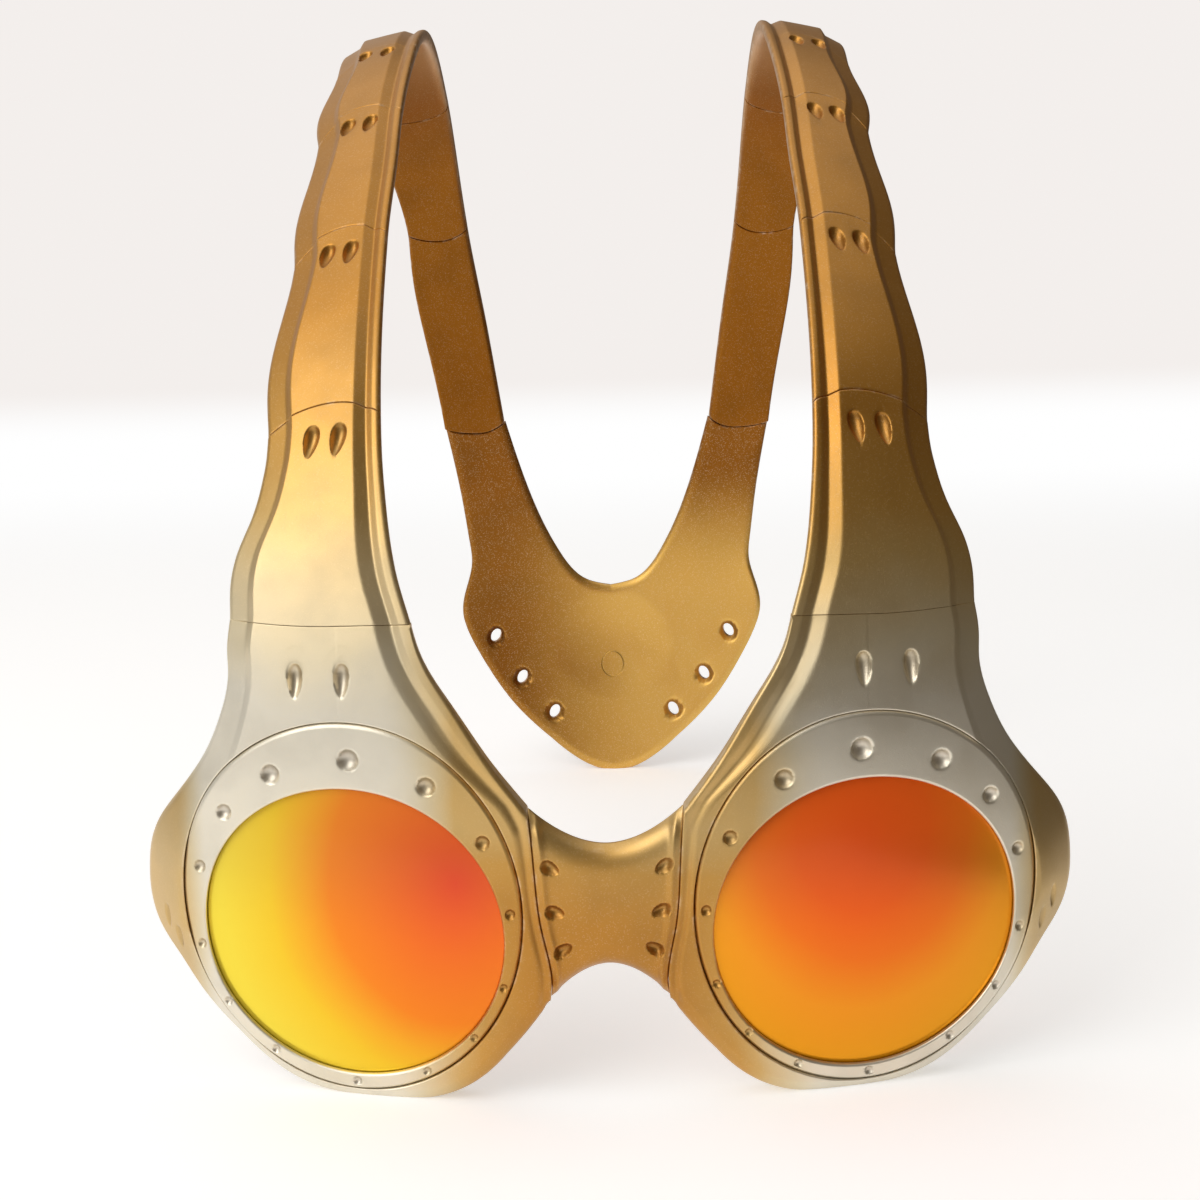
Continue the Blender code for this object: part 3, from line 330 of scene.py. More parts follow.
# Painted shade inside the moulded dents and teardrops
DENT_PAINTED_SHADE = (0.86, 0.85, 0.86, 1)
PLATE_HIGHLIGHT_COLOUR = (0.97, 0.61, 0.15, 1)
FLAKE_GLINT_COLOUR = (1.0, 0.80, 0.50, 1)
RUB_AND_HIGHLIGHT_COLOUR = (0.92, 0.80, 0.62, 1)
RUBBER_SHADE = (0.016, 0.016, 0.018, 1)
RUBBER_COLOUR = (0.035, 0.034, 0.034, 1)
LENS_COLOUR_REACH = 0.050
LENS_COLOUR_SQUEEZE = (1.0, 0.0, 0.85)
LEFT_LENS_FOCUS = (-0.0238, 0.0, 0.0375)
RIGHT_LENS_FOCUS = (0.0400, 0.0, 0.0430)
LEFT_LENS_COATS = [
    (0.0, (0.95, 0.095, 0.030, 1)), (0.22, (0.98, 0.190, 0.022, 1)), (0.40, (1.0, 0.270, 0.018, 1)),
    (0.60, (0.98, 0.640, 0.028, 1)), (0.78, (0.97, 0.760, 0.060, 1)),
]
RIGHT_LENS_COATS = [
    (0.0, (1.0, 0.120, 0.012, 1)), (0.20, (1.0, 0.140, 0.012, 1)), (0.34, (1.0, 0.200, 0.013, 1)),
    (0.50, (1.0, 0.360, 0.015, 1)), (0.68, (0.93, 0.400, 0.008, 1)),
]

# Ranges over which a look changes: from, to, and the values there where they aren't 0 and 1. They are metres, but
# INSIDE_FACING, ROOM_ACROSS and ROOM_EDGE are parts of a direction
# Painted highlight: the paint lightens up the bridge and the nose side of the rims
BROW_HIGHLIGHT_HEIGHTS = (0.028, 0.047)
SHOULDER_HEIGHTS = (0.050, 0.064)
SHOULDER_REACHES = (0.034, 0.042, 0.45, 1.0)
FRONT_DEPTHS = (-0.04, -0.07)
# The fade's top stands higher on the left arm than on the right: a painted highlight on the side the light falls from
FADE_TOPS_LIT_LEFT = (-0.02, 0.02, 0.128, 0.108)
INSIDE_DEPTHS = (0.0, 0.02)
INSIDE_FACING = (-0.1, -0.5)
# Where the rear plate's painted highlight lies, by height and by reach across
PLATE_HIGHLIGHT_HEIGHTS = (0.080, 0.044)
PLATE_HIGHLIGHT_REACHES = (-0.030, 0.010, 0.05, 0.66)
LENS_METAL_HEIGHTS = (0.045, 0.026, 0.08, 0.62)
# Painted shadow: in reflections the floor's glow dims to the right of the glasses
FLOOR_REFLECTION_SHADE = (0.04, 0.22, 1.0, 0.25)
ROOM_ACROSS = (-0.6, 0.45)
ROOM_EDGE = (-0.70, -0.95)


class Curve:
    """A smooth curve through given points, read by the distance run from its start."""

    def __init__(self, points):
        self.points = np.array(points, float)
        steps = np.hypot(*np.diff(self.points, axis=0).T)
        self.at = np.concatenate([[0.0], np.cumsum(steps)])
        gaps = np.diff(self.at)
        count = len(self.at)
        system = np.zeros((count, count))
        wanted = np.zeros((count, 2))
        system[0, 0] = system[-1, -1] = 1
        slopes = np.diff(self.points, axis=0) / gaps[:, None]
        for i in range(1, count - 1):
            system[i, i - 1 : i + 2] = gaps[i - 1], 2 * (gaps[i - 1] + gaps[i]), gaps[i]
            wanted[i] = 6 * (slopes[i] - slopes[i - 1])
        self.bend = np.linalg.solve(system, wanted)

    def _piece(self, where):
        where = np.asarray(where, float)
        i = np.clip(np.searchsorted(self.at, where) - 1, 0, len(self.at) - 2)
        gap = (self.at[i + 1] - self.at[i])[..., None]
        return i, gap, (where - self.at[i])[..., None], (self.at[i + 1] - where)[..., None]

    def point(self, where):
        i, gap, past, left = self._piece(where)
        bent = (self.bend[i] * left**3 + self.bend[i + 1] * past**3) / (6 * gap)
        start = (self.points[i] / gap - self.bend[i] * gap / 6) * left
        return bent + start + (self.points[i + 1] / gap - self.bend[i + 1] * gap / 6) * past

    def direction(self, where):
        i, gap, past, left = self._piece(where)
        bent = (self.bend[i + 1] * past**2 - self.bend[i] * left**2) / (2 * gap)
        slope = (self.points[i + 1] - self.points[i]) / gap
        way = bent + slope - (self.bend[i + 1] - self.bend[i]) * gap / 6
        return way / np.linalg.norm(way, axis=-1, keepdims=True)

    def sampled(self, count):
        """Evenly spread points, both ends included."""
        return self.point(self.at[-1] * np.arange(count + 1) / count)


def eased(table, where):
    """A smooth value from a table of (place, value), with no overshoot between its points."""
    xs = np.array([row[0] for row in table], float)
    ys = np.array([row[1] for row in table], float)
    slopes = np.diff(ys) / np.diff(xs)
    tangents = np.concatenate([[slopes[0]], (slopes[1:] + slopes[:-1]) / 2, [slopes[-1]]])
    tangents[1:-1][slopes[1:] * slopes[:-1] <= 0] = 0
    where = np.asarray(where, float)
    i = np.clip(np.searchsorted(xs, where) - 1, 0, len(xs) - 2)
    gap = xs[i + 1] - xs[i]
    part = np.clip((where - xs[i]) / gap, 0.0, 1.0)
    rest = 1 - part
    ahead = ys[i] * (1 + 2 * part) * rest**2 + tangents[i] * gap * part * rest**2
    return ahead + ys[i + 1] * part**2 * (3 - 2 * part) - tangents[i + 1] * gap * part**2 * rest


MIDDLE = Curve([(CURVE_DEPTH * y, CURVE_HEIGHT * z) for y, z in CURVE_SHARES])
BAND_LENGTH = MIDDLE.at[-1]
ARM_LENGTH = BAND_LENGTH - FRONT_HEIGHT


def place(across, along, raised):
    """World points at a distance along the band, a distance across it, and a height off it, above the table."""
    across, along, raised = np.broadcast_arrays(across, along, raised)
    middle, way = MIDDLE.point(along), MIDDLE.direction(along)
    lift = raised - across**2 / (2 * WRAP_RADIUS)
    up = np.maximum(middle[..., 1] + way[..., 0] * lift, 0.0)
    return np.stack([across, middle[..., 0] - way[..., 1] * lift - FRONT_TO_ORIGIN, up], axis=-1)


def grounded(along):
    """Both ends of the band run a little past the floor, which cuts a flat foot there."""
    near = np.clip(1 - along / FOOT_FADE, 0.0, 1.0)
    far = np.clip(1 - (BAND_LENGTH - along) / FOOT_FADE, 0.0, 1.0)
    return along + FOOT_SINK * (far - near)


def surface_axes(across, along):
    """Directions across, along and out of the band's surface at one place."""
    step = CREASE_ROUND
    side = place(across + step, along, 0.0) - place(across - step, along, 0.0)
    way = place(across, along + step, 0.0) - place(across, along - step, 0.0)
    side, way = side / np.linalg.norm(side), way / np.linalg.norm(way)
    return side, way, np.cross(side, way)


def seam_at(index, share):
    """Where seam number index lies along the band, at a share of the way from inner to outer edge."""
    share = np.asarray(share, float)
    middle = SEAM_MIDDLE_SHARE
    lean = (share - middle) / (1 - middle)
    inward = SEAM_LEAD * (lean * (1 - middle) / middle) ** 2 * (share < middle) * (index > 0)
    outward = SEAM_SWEEP * SEAM_BOW_SHARES[index] * lean**2 * (share >= middle)
    return FRONT_HEIGHT + ARM_LENGTH * SEAM_SHARES[index] - inward - outward


def scallop(along):
    """How far the outer edge swells between two seams, most a third of the way up."""
    ends = [float(seam_at(i, 1.0)) for i in range(len(SEAM_SHARES))]
    swell = np.zeros_like(along)
    for low, high in zip(ends, ends[1:]):
        part = np.clip((along - low) / (high - low), 0, 1)
        swell = swell + SCALLOP_RISE * np.sin(math.pi * part**SCALLOP_SKEW_SHARE) ** 2
    return swell


def inner_edge(along):
    return ARM_INNER_REACH * eased(INNER_EDGE_SHARES, (along - FRONT_HEIGHT) / ARM_LENGTH)


def outer_edge(along):
    width = ARM_WIDTH * eased(ARM_WIDTH_SHARES, (along - FRONT_HEIGHT) / ARM_LENGTH)
    return inner_edge(along) + width + scallop(along)


def rounded(distance, radius):
    """How far a rounded edge of this radius lies below the face it ends."""
    short = np.clip(radius - distance, 0.0, radius)
    return radius - np.sqrt(np.maximum(radius**2 - short**2, 0.0))


def creased(stations, heights, where, spread=CREASE_ROUND):
    """A folded profile with its creases slightly rounded."""
    shifts = (-1.0, -0.5, 0.0, 0.5, 1.0)
    return sum(np.interp(where + shift * spread, stations, heights) for shift in shifts) / len(shifts)


def relief(from_inner, from_outer, along, flank_width=FLANK_WIDTH, flank_drop=FLANK_DROP):
    """Height of the band's outer face: rail, groove and slope inside, a folded flank outside."""
    share = eased(RELIEF_SHARES, along)
    stations = (0.0, RAIL_REACH, GROOVE_REACH, SLOPE_REACH)
    heights = (-RAIL_DROP, -RAIL_DROP, -GROOVE_DROP, 0.0)
    crisp = np.clip((along - FOLD_START) / (FOLD_END - FOLD_START), 0.0, 1.0)
    sharp = creased(stations, heights, from_inner / share)
    blunt = creased(stations, heights, from_inner / share, RIM_CREASE_ROUND)
    drop = (blunt + (sharp - blunt) * crisp) * np.clip(share, RELIEF_DROP_LEAST, 1.0)
    part = np.clip(from_outer / flank_width, 0.0, 1.0)
    soft = (1 - part) ** FLANK_BEND
    folded = creased((0.0, FOLD_SHARE, 1.0), (1.0, FOLD_DROP_SHARE, 0.0), part, CREASE_ROUND / FLANK_WIDTH)
    return drop - flank_drop * (soft + (folded - soft) * crisp)


def edge_steps(radius, count=6):
    """Distances from an edge that follow its rounding."""
    return [radius * (1 - math.cos(math.pi / 2 * i / count)) for i in range(count)]


def seam_steps():
    return edge_steps(SEAM_ROUND, 4) + [SEAM_ROUND, 2 * SEAM_ROUND]


def edge_near(distance, reach=INNER_ROUND):
    """1 at an edge, falling to 0 at a reach from it."""
    return np.clip(1 - distance / reach, 0, 1)


def stations_along(length, fine_spans):
    """Distances from one seam to the next, close together at the seams and where marks lie."""
    ends = seam_steps()
    made = list(ends)
    while made[-1] < length - 4 * SEAM_ROUND:
        near = any(low <= made[-1] <= high for low, high in fine_spans)
        made.append(made[-1] + (FINE_STEP if near else COARSE_STEP))
    made = [value for value in made if value < length - 3 * SEAM_ROUND]
    return np.array(made + [length - value for value in reversed(ends)])


def stitched(first, second):
    """Triangles between two runs of vertices, each given as (index, share of the run)."""
    faces = []
    i = j = 0
    while i < len(first) - 1 or j < len(second) - 1:
        if j == len(second) - 1 or (i < len(first) - 1 and first[i + 1][1] <= second[j + 1][1]):
            faces.append((first[i][0], first[i + 1][0], second[j][0]))
            i += 1
        else:
            faces.append((first[i][0], second[j + 1][0], second[j][0]))
            j += 1
    return faces


def mesh_from(name, points, faces, edge_nearness):
    """A closed mesh with faces outwards, and each point's nearness to an edge, for the paint worn along edges and the
    painted highlight on the bridge's top.
    """
    mesh = bpy.data.meshes.new(name)
    mesh.from_pydata(points.tolist(), [], faces)
    mark = mesh.attributes.new("edge", "FLOAT", "POINT")
    mark.data.foreach_set("value", np.asarray(edge_nearness, np.float32))
    body = bmesh.new()
    body.from_mesh(mesh)
    bmesh.ops.remove_doubles(body, verts=body.verts, dist=1e-7)
    bmesh.ops.recalc_face_normals(body, faces=body.faces)
    if body.calc_volume(signed=True) < 0:
        bmesh.ops.reverse_faces(body, faces=body.faces)
    body.to_mesh(mesh)
    body.free()
    return mesh


def loft(name, rings, front_count, edge_nearness, closed=False):
    """A skin through rings of points that run over the front face and return over the back."""
    rings = np.asarray(rings, float)
    count, size = rings.shape[:2]
    index = np.arange(count * size).reshape(count, size)
    lows = index if closed else index[:-1]
    highs = np.roll(index, -1, axis=0) if closed else index[1:]
    quads = np.stack([lows, np.roll(lows, -1, axis=1), np.roll(highs, -1, axis=1), highs], axis=-1)
    faces = quads.reshape(-1, 4).tolist()
    if not closed:
        for row in (index[0], index[-1]):
            front = [(int(v), i / (front_count - 1)) for i, v in enumerate(row[:front_count])]
            back_run = row[front_count:][::-1]
            back = [(int(v), i / (len(back_run) - 1)) for i, v in enumerate(back_run)]
            faces += stitched(front, back)
    return mesh_from(name, rings.reshape(-1, 3), faces, np.asarray(edge_nearness).reshape(-1))


def sided(points, side):
    """The same points on the right side, or mirrored to the left."""
    return points if side > 0 else points * np.array((-1.0, 1.0, 1.0))


def columns(width, inner_run, count, outer_run):
    """Distances from the inner edge: a run from it, evenly spread ones between, and a run to the outer edge."""
    start, stop = inner_run[-1], width - outer_run[0]
    between = start + (stop - start) * np.linspace(0, 1, count + 2)[1:-1]
    return np.hstack([inner_run * np.ones_like(width), between, width - outer_run])


def plate_flank(edge):
    """How far the rear plate's outer face lies under the band's surface near its edges."""
    return -FLANK_DROP / 2 * (1 - np.clip(edge / FLANK_WIDTH, 0, 1)) ** 2


def arm_mesh(name, number, side, fine_spans):
    """One segment of the band arm, between seam number - 1 and seam number."""
    is_first, half_crack = number == 1, SEAM_CRACK / 2
    base = seam_at(number - 1, 0.5)
    length = float(seam_at(number, 0.5) - base) - SEAM_CRACK
    parts = (stations_along(length, fine_spans) / length)[:, None]
    middle = base + half_crack + length * parts
    width = outer_edge(middle) - inner_edge(middle)
    inner = edge_steps(INNER_ROUND) + list(np.arange(INNER_ROUND, 1.08 * SLOPE_REACH, FINE_STEP))
    outer = edge_steps(OUTER_ROUND) + list(np.arange(OUTER_ROUND, 1.05 * FLANK_WIDTH, PANEL_STEP))
    panels = int((width.max() - SLOPE_REACH - FLANK_WIDTH) / PANEL_STEP)
    front = columns(width, np.array(inner), panels, np.array(outer)[::-1])
    turn = np.array(edge_steps(BACK_ROUND, 4)) / ARM_WIDTH
    back = np.sort(np.concatenate([turn, np.linspace(0, 1, BACK_COLUMNS)[1:-1], 1 - turn]))[::-1] * width
    low_round = SEAM_ROUND * (FIRST_SEAM_SHARE if is_first else 1)
    rings, nearness = [], []
    for reach, is_front in ((front, True), (back, False)):
        share = reach / width
        lap = 0.0 if is_front else SEAM_LAP
        low = seam_at(number - 1, share) + (FIRST_CRACK + lap if is_first else half_crack)
        high = seam_at(number, share) - half_crack
        along = low + (high - low) * parts
        inner, outer = inner_edge(along), outer_edge(along)
        across = inner + (outer - inner) * share
        edge = np.minimum(across - inner, outer - across)
        to_seam = high - along if is_first else np.minimum(along - low, high - along)
        cut = rounded(along - low, low_round) + rounded(high - along, SEAM_ROUND)
        if is_front:
            swell = SEAM_SWELL * np.exp(-(high - along) / SEAM_SWELL_REACH)
            raised = relief(across - inner, outer - across, along)
            if number == LAST_SEAM:
                ease = parts**2 * (3 - 2 * parts)
                raised = raised * (1 - ease) + plate_flank(edge) * ease
            raised = raised + swell - (rounded(across - inner, INNER_ROUND) + rounded(outer - across, OUTER_ROUND))
            raised -= cut
        else:
            raised = -BAND_THICKNESS - FLANK_DROP / 4 * share**2
            raised += rounded(across - inner, BACK_ROUND) + rounded(outer - across, BACK_ROUND / 2)
            raised += cut
        rings.append(place(across, along, raised))
        nearness.append(edge_near(np.minimum(edge, to_seam)))
    points = sided(np.concatenate(rings, axis=1), side)
    return loft(name, points, front.shape[1], np.concatenate(nearness, axis=1))


def distance_to(line, points):
    """Shortest distance from each point to a run of straight steps."""
    best = np.full(points.shape[:-1], np.inf)
    for start, end in zip(line[:-1], line[1:]):
        run = end - start
        part = np.clip(((points - start) @ run) / (run @ run), 0, 1)
        gap = points - start - part[..., None] * run
        best = np.minimum(best, np.hypot(gap[..., 0], gap[..., 1]))
    return best


def around_lens(angle, reach):
    """The place, as (across, along), at an angle and a distance from the lens centre."""
    return LENS_CENTRE_X + reach * np.cos(angle), LENS_CENTRE_UP + reach * np.sin(angle)


def ellipse_reach(angle):
    """Distance from the lens centre to the bezel's outer edge."""
    ex = (LENS_CENTRE_X - BEZEL_CENTRE_X) / BEZEL_HALF_WIDTH
    ez = (LENS_CENTRE_UP - BEZEL_CENTRE_UP) / BEZEL_HALF_HEIGHT
    cx, cz = np.cos(angle) / BEZEL_HALF_WIDTH, np.sin(angle) / BEZEL_HALF_HEIGHT
    a, b, c = cx**2 + cz**2, 2 * (cx * ex + cz * ez), ex**2 + ez**2 - 1
    return (-b + np.sqrt(b * b - 4 * a * c)) / (2 * a)


def rim_lines():
    """Rim outline as curves in (across, along): the outer side, the bridge seam and the inner side."""
    inner_end = (float(inner_edge(seam_at(0, 0.0))), float(seam_at(0, 0.0)))
    corner = np.array((float(outer_edge(seam_at(0, 1.0))), float(seam_at(0, 1.0))))
    seam = np.array(RIM_BRIDGE_SHARES) * np.array([BRIDGE_HALF_WIDTH, FRONT_HEIGHT])
    sides = []
    for degrees, wall in RIM_WALL_SHARES:
        angle = math.radians(degrees)
        sides.append(around_lens(angle, ellipse_reach(angle) + TEMPLE_WALL * wall))
    shoulder = corner + np.array(RIM_SHOULDER_SHARES) * (np.array(sides[0]) - corner)
    outer = Curve(np.vstack([corner, shoulder, sides, seam[0]]))
    brow = seam[-1] + np.array(RIM_INNER_SHARES) * (np.array(inner_end) - seam[-1])
    inner = Curve(np.vstack([seam[-1], brow, inner_end]))
    return outer, Curve(seam), inner


OUTER_LINE, BRIDGE_LINE, INNER_LINE = rim_lines()
SEAM_SIDE, OUTER_SIDE, BRIDGE_SIDE, INNER_SIDE = range(4)


def flank_sizes(points):
    """Width and drop of the rim's outer flank, widest at the temple and small below the lens."""
    outside = points[..., 0] > LENS_CENTRE_X
    up_share = points[..., 1] / FRONT_HEIGHT
    temple = np.exp(-(((up_share - TEMPLE_UP_SHARE) / TEMPLE_SPREAD_SHARE) ** 2)) * outside
    up = np.clip(up_share / TEMPLE_RISE_SHARE, 0.0, 1.0) * outside
    width = LOWER_FLANK_WIDTH + (FLANK_WIDTH - LOWER_FLANK_WIDTH) * up
    drop = LOWER_FLANK_DROP + (FLANK_DROP - LOWER_FLANK_DROP) * up
    return width + (TEMPLE_FLANK_WIDTH - width) * temple, drop + (TEMPLE_FLANK_DROP - drop) * temple


def rim_height(points):
    """Height of the rim's front over the band's surface."""
    outer = OUTER_LINE.sampled(OUTER_SAMPLES)
    outer[:, 1] = grounded(outer[:, 1])
    width, drop = flank_sizes(points)
    to_bridge = distance_to(BRIDGE_LINE.sampled(BRIDGE_SAMPLES), points)
    to_inside = distance_to(INNER_LINE.sampled(INNER_SAMPLES), points)
    blend = np.clip(0.5 + (to_bridge - to_inside) / (2 * CORNER_BLEND), 0, 1)
    from_inner = to_bridge + (to_inside - to_bridge) * blend - CORNER_BLEND * blend * (1 - blend)
    from_inner, from_outer = np.maximum(from_inner, 0), distance_to(outer, points)
    return relief(from_inner, from_outer, points[..., 1], width, drop)


def rim_outline():
    """Points round the rim in (across, along), the gap to the next piece taken off, and each one's side."""
    share = np.arange(SEAM_SIDE_STEPS) / SEAM_SIDE_STEPS
    inner_end, corner = INNER_LINE.points[-1], OUTER_LINE.points[0]
    top = np.stack([inner_end[0] + (corner[0] - inner_end[0]) * share,
                    seam_at(0, share) - SEAM_CRACK / 2], axis=-1)
    lines = ((OUTER_LINE, OUTER_SIDE_STEPS), (BRIDGE_LINE, BRIDGE_SIDE_STEPS), (INNER_LINE, INNER_SIDE_STEPS))
    runs = [top] + [line.sampled(count)[:-1] for line, count in lines]
    points = np.vstack(runs)
    points[:, 1] = grounded(points[:, 1])
    return points, np.repeat((SEAM_SIDE, OUTER_SIDE, BRIDGE_SIDE, INNER_SIDE), [len(run) for run in runs])


def rim_mesh(name, side):
    """The rim shell: a skin on rays from the lens centre, over the front, into the seat and round the back."""
    edge, tags = rim_outline()
    centre = np.array((LENS_CENTRE_X, LENS_CENTRE_UP))
    ray = edge - centre
    reach = np.hypot(ray[:, 0], ray[:, 1])[:, None]
    ray = ray / reach
    wall = ellipse_reach(np.arctan2(ray[:, 1], ray[:, 0]))[:, None] + BEZEL_CRACK
    room = reach - wall
    near = np.array(edge_steps(INNER_ROUND, 7) + list(np.arange(INNER_ROUND, 1.15 * TEMPLE_FLANK_WIDTH, FINE_STEP)))
    close = np.array(seam_steps())[::-1]
    fit = np.minimum(1.0, EDGE_ROOM * room / near[-1])
    last = near[-1] * fit
    hold = close * np.minimum(1.0, SEAT_ROOM * room / close[0])
    between = np.linspace(0, 1, RIM_COLUMNS + 2)[1:-1]
    from_edge = np.hstack([near * fit, last + (room - hold[:, :1] - last) * between, room - hold])
    radius = reach - from_edge
    flat = centre + ray[:, None, :] * radius[..., None]
    raised = rim_height(flat)
    tag = tags[:, None]
    rounding = np.where(tag == BRIDGE_SIDE, SEAM_ROUND, np.minimum(INNER_ROUND, EDGE_ROUND_ROOM * room))
    rounding = np.where(tag == SEAM_SIDE, SEAM_ROUND * FIRST_SEAM_SHARE, rounding)
    seat_round = np.minimum(SEAM_ROUND, SEAT_ROUND_ROOM * room)
    raised = raised - rounded(from_edge, rounding) - rounded(radius - wall, seat_round)
    rings = [place(flat[..., 0], flat[..., 1], raised)]

    rise = (edge[:, 1] / FRONT_HEIGHT - RIM_THINNING_SHARE) / (1 - RIM_THINNING_SHARE)
    thin = np.clip(rise, 0.0, 1.0)
    thin[(tags == BRIDGE_SIDE) | ((tags == OUTER_SIDE) & (edge[:, 0] < LENS_CENTRE_X))] = 0.0
    thin[tags == SEAM_SIDE] = 1.0
    edge_back = (-RIM_BACK_DEPTH + (RIM_BACK_DEPTH - BAND_THICKNESS) * thin)[:, None]
    edge_low = np.minimum(edge_back + BACK_ROUND, raised[:, :1] - CREASE_ROUND)
    edge_back = np.minimum(edge_back, edge_low - CREASE_ROUND)
    hole = LENS_RADIUS - LEDGE_WIDTH / 2
    ones = np.ones_like(reach)
    inset = reach - np.minimum(BACK_ROUND, room / 2)
    back_share = np.linspace(0, 1, RIM_BACK_ROWS)
    back_radius = hole + (inset - hole) * back_share
    back_raised = -RIM_BACK_DEPTH + (edge_back + RIM_BACK_DEPTH) * back_share
    turn = np.linspace(0, 1, TURN_ROWS)[1:] * math.pi / 2
    turn_radius = inset + (reach - inset) * np.sin(turn)
    turn_raised = edge_low + (edge_back - edge_low) * np.cos(turn)
    radii = np.hstack([wall, np.array((POCKET_RADIUS, POCKET_RADIUS, hole)) * ones, back_radius, turn_radius])
    depths = np.array((-SEAT_DEPTH, -SEAT_DEPTH, -POCKET_DEPTH, -POCKET_DEPTH)) * ones
    depths = np.hstack([depths, back_raised, turn_raised])
    flat = centre + ray[:, None, :] * radii[..., None]
    flat[:, -len(turn):, 1] += np.where(tag == SEAM_SIDE, SEAM_LAP, 0.0) * np.sin(turn)
    rings.append(place(flat[..., 0], flat[..., 1], depths))
    near = edge_near(np.minimum(np.where(tag == SEAM_SIDE, INNER_ROUND, from_edge), radius - wall))
    nearness = np.hstack([near, np.zeros_like(radii)])
    points = sided(np.concatenate(rings, axis=1), side)
    return loft(name, points, from_edge.shape[1], nearness, closed=True)


def bezel_mesh(name, side):
    """The eccentric ring plate, bevelled at the lens and at its outer edge."""
    angle = (2 * math.pi * np.arange(BEZEL_STEPS) / BEZEL_STEPS)[:, None]
    edge = ellipse_reach(angle)
    ones = np.ones_like(edge)
    face = np.linspace(0, 1, BEZEL_ROWS)
    start, stop = LENS_RADIUS + HOLE_BEVEL, edge - BEZEL_BEVEL
    radii = np.hstack([
        LENS_RADIUS * ones, LENS_RADIUS * ones, (LENS_RADIUS + HOLE_BEVEL / 4) * ones,
        start + (stop - start) * face, edge - BEZEL_BEVEL / 2, edge - BEZEL_BEVEL / 8, edge, edge,
        POCKET_RADIUS * ones, POCKET_RADIUS * ones,
    ])
    heights = [-BEZEL_LIP, -HOLE_BEVEL, -HOLE_BEVEL / 2] + [0.0] * BEZEL_ROWS
    heights += [BEZEL_BEVEL_DROP * step for step in BEZEL_BEVEL_STEPS]
    heights += [-BEZEL_THICKNESS, -BEZEL_THICKNESS, -BEZEL_LIP]
    points = sided(place(*around_lens(angle, radii), np.array(heights) * ones), side)
    near = edge_near(np.minimum(radii - LENS_RADIUS, edge - radii), BEZEL_BEVEL)
    return loft(name, points, points.shape[1], near, closed=True)


def lens_mesh(name, side):
    """A domed round lens that follows the wrap of the front."""
    edge = LENS_RADIUS + LENS_LIP
    top = -BEZEL_LIP - SEAT_GAP
    shares = np.linspace(0, 1, LENS_ROWS) ** LENS_ROW_BEND
    front = [(edge * s, top + LENS_DOME * (1 - s**2)) for s in shares]
    back = [(radius, raised - LENS_THICKNESS) for radius, raised in front[::-3]]
    profile = np.array(front[1:] + back[:-1])
    angle = 2 * math.pi * np.arange(LENS_STEPS) / LENS_STEPS
    rows = place(*around_lens(angle, profile[:, :1]), profile[:, 1:] * np.ones_like(angle))
    poles = place(np.full(2, LENS_CENTRE_X), np.full(2, LENS_CENTRE_UP), np.array([front[0][1], back[-1][1]]))
    count = len(profile)
    index = np.arange(count * LENS_STEPS).reshape(count, LENS_STEPS)
    turned = np.roll(index, -1, axis=1)
    faces = np.stack([index[:-1], turned[:-1], turned[1:], index[1:]], axis=-1).reshape(-1, 4).tolist()
    first, last = count * LENS_STEPS, count * LENS_STEPS + 1
    faces += [(first, int(b), int(a)) for a, b in zip(index[0], turned[0])]
    faces += [(last, int(a), int(b)) for a, b in zip(index[-1], turned[-1])]
    points = sided(np.vstack([rows.reshape(-1, 3), poles]), side)
    return mesh_from(name, points, faces, np.zeros(len(points)))


def bridge_mesh(name):
    """The waisted bridge, its upper and lower edges well rounded."""
    ends = np.array(seam_steps()) / BRIDGE_HALF_WIDTH
    inside = np.linspace(-1 + ends[-1] * 1.5, 1 - ends[-1] * 1.5, BRIDGE_STATIONS)
    reach = np.concatenate([-1 + ends, inside, 1 - ends[::-1]])[:, None]
    share = (1 - np.cos(np.linspace(0, math.pi, BRIDGE_ROWS))) / 2
    end = BRIDGE_LINE.point(BRIDGE_LINE.at[-1] * share)
    end_x, end_up = end[:, 0] - BRIDGE_CRACK, end[:, 1]
    start = BRIDGE_BOTTOM + (BRIDGE_TOP - BRIDGE_BOTTOM) * share
    along = start + (end_up - start) * np.abs(reach) ** BRIDGE_WAIST_BEND
    near_edge = np.abs(2 * share - 1) ** BRIDGE_EDGE_BEND
    to_seam = (1 - np.abs(reach)) * BRIDGE_HALF_WIDTH
    ridge = BRIDGE_RIDGE * (np.exp(-(((to_seam - BRIDGE_RIDGE_REACH) / BRIDGE_RIDGE_WIDTH) ** 2)) - 1)
    front = ridge - BRIDGE_ROUND * near_edge - rounded(to_seam, SEAM_ROUND)
    back = -BRIDGE_THICKNESS + BRIDGE_ROUND * BRIDGE_BACK_ROUND_SHARE * near_edge + rounded(to_seam, SEAM_ROUND)
    across = end_x * reach
    thinned = slice(None, None, -3)
    points = np.concatenate([place(across, along, front), place(across, along, back)[:, thinned]], axis=1)
    # Painted highlight: the band along the bridge's top edge counts as near an edge, so the edge rub paints it lighter
    from_top = (1 - share) * (BRIDGE_TOP - BRIDGE_BOTTOM) / BRIDGE_LIP_WIDTH
    lip_highlight = np.clip(BRIDGE_LIP_FALL - BRIDGE_LIP_FALL * from_top, 0, 1)
    near = np.maximum(edge_near(to_seam), lip_highlight * BRIDGE_LIP_HIGHLIGHT)
    return loft(name, points, BRIDGE_ROWS, np.hstack([near, near[:, thinned]]))


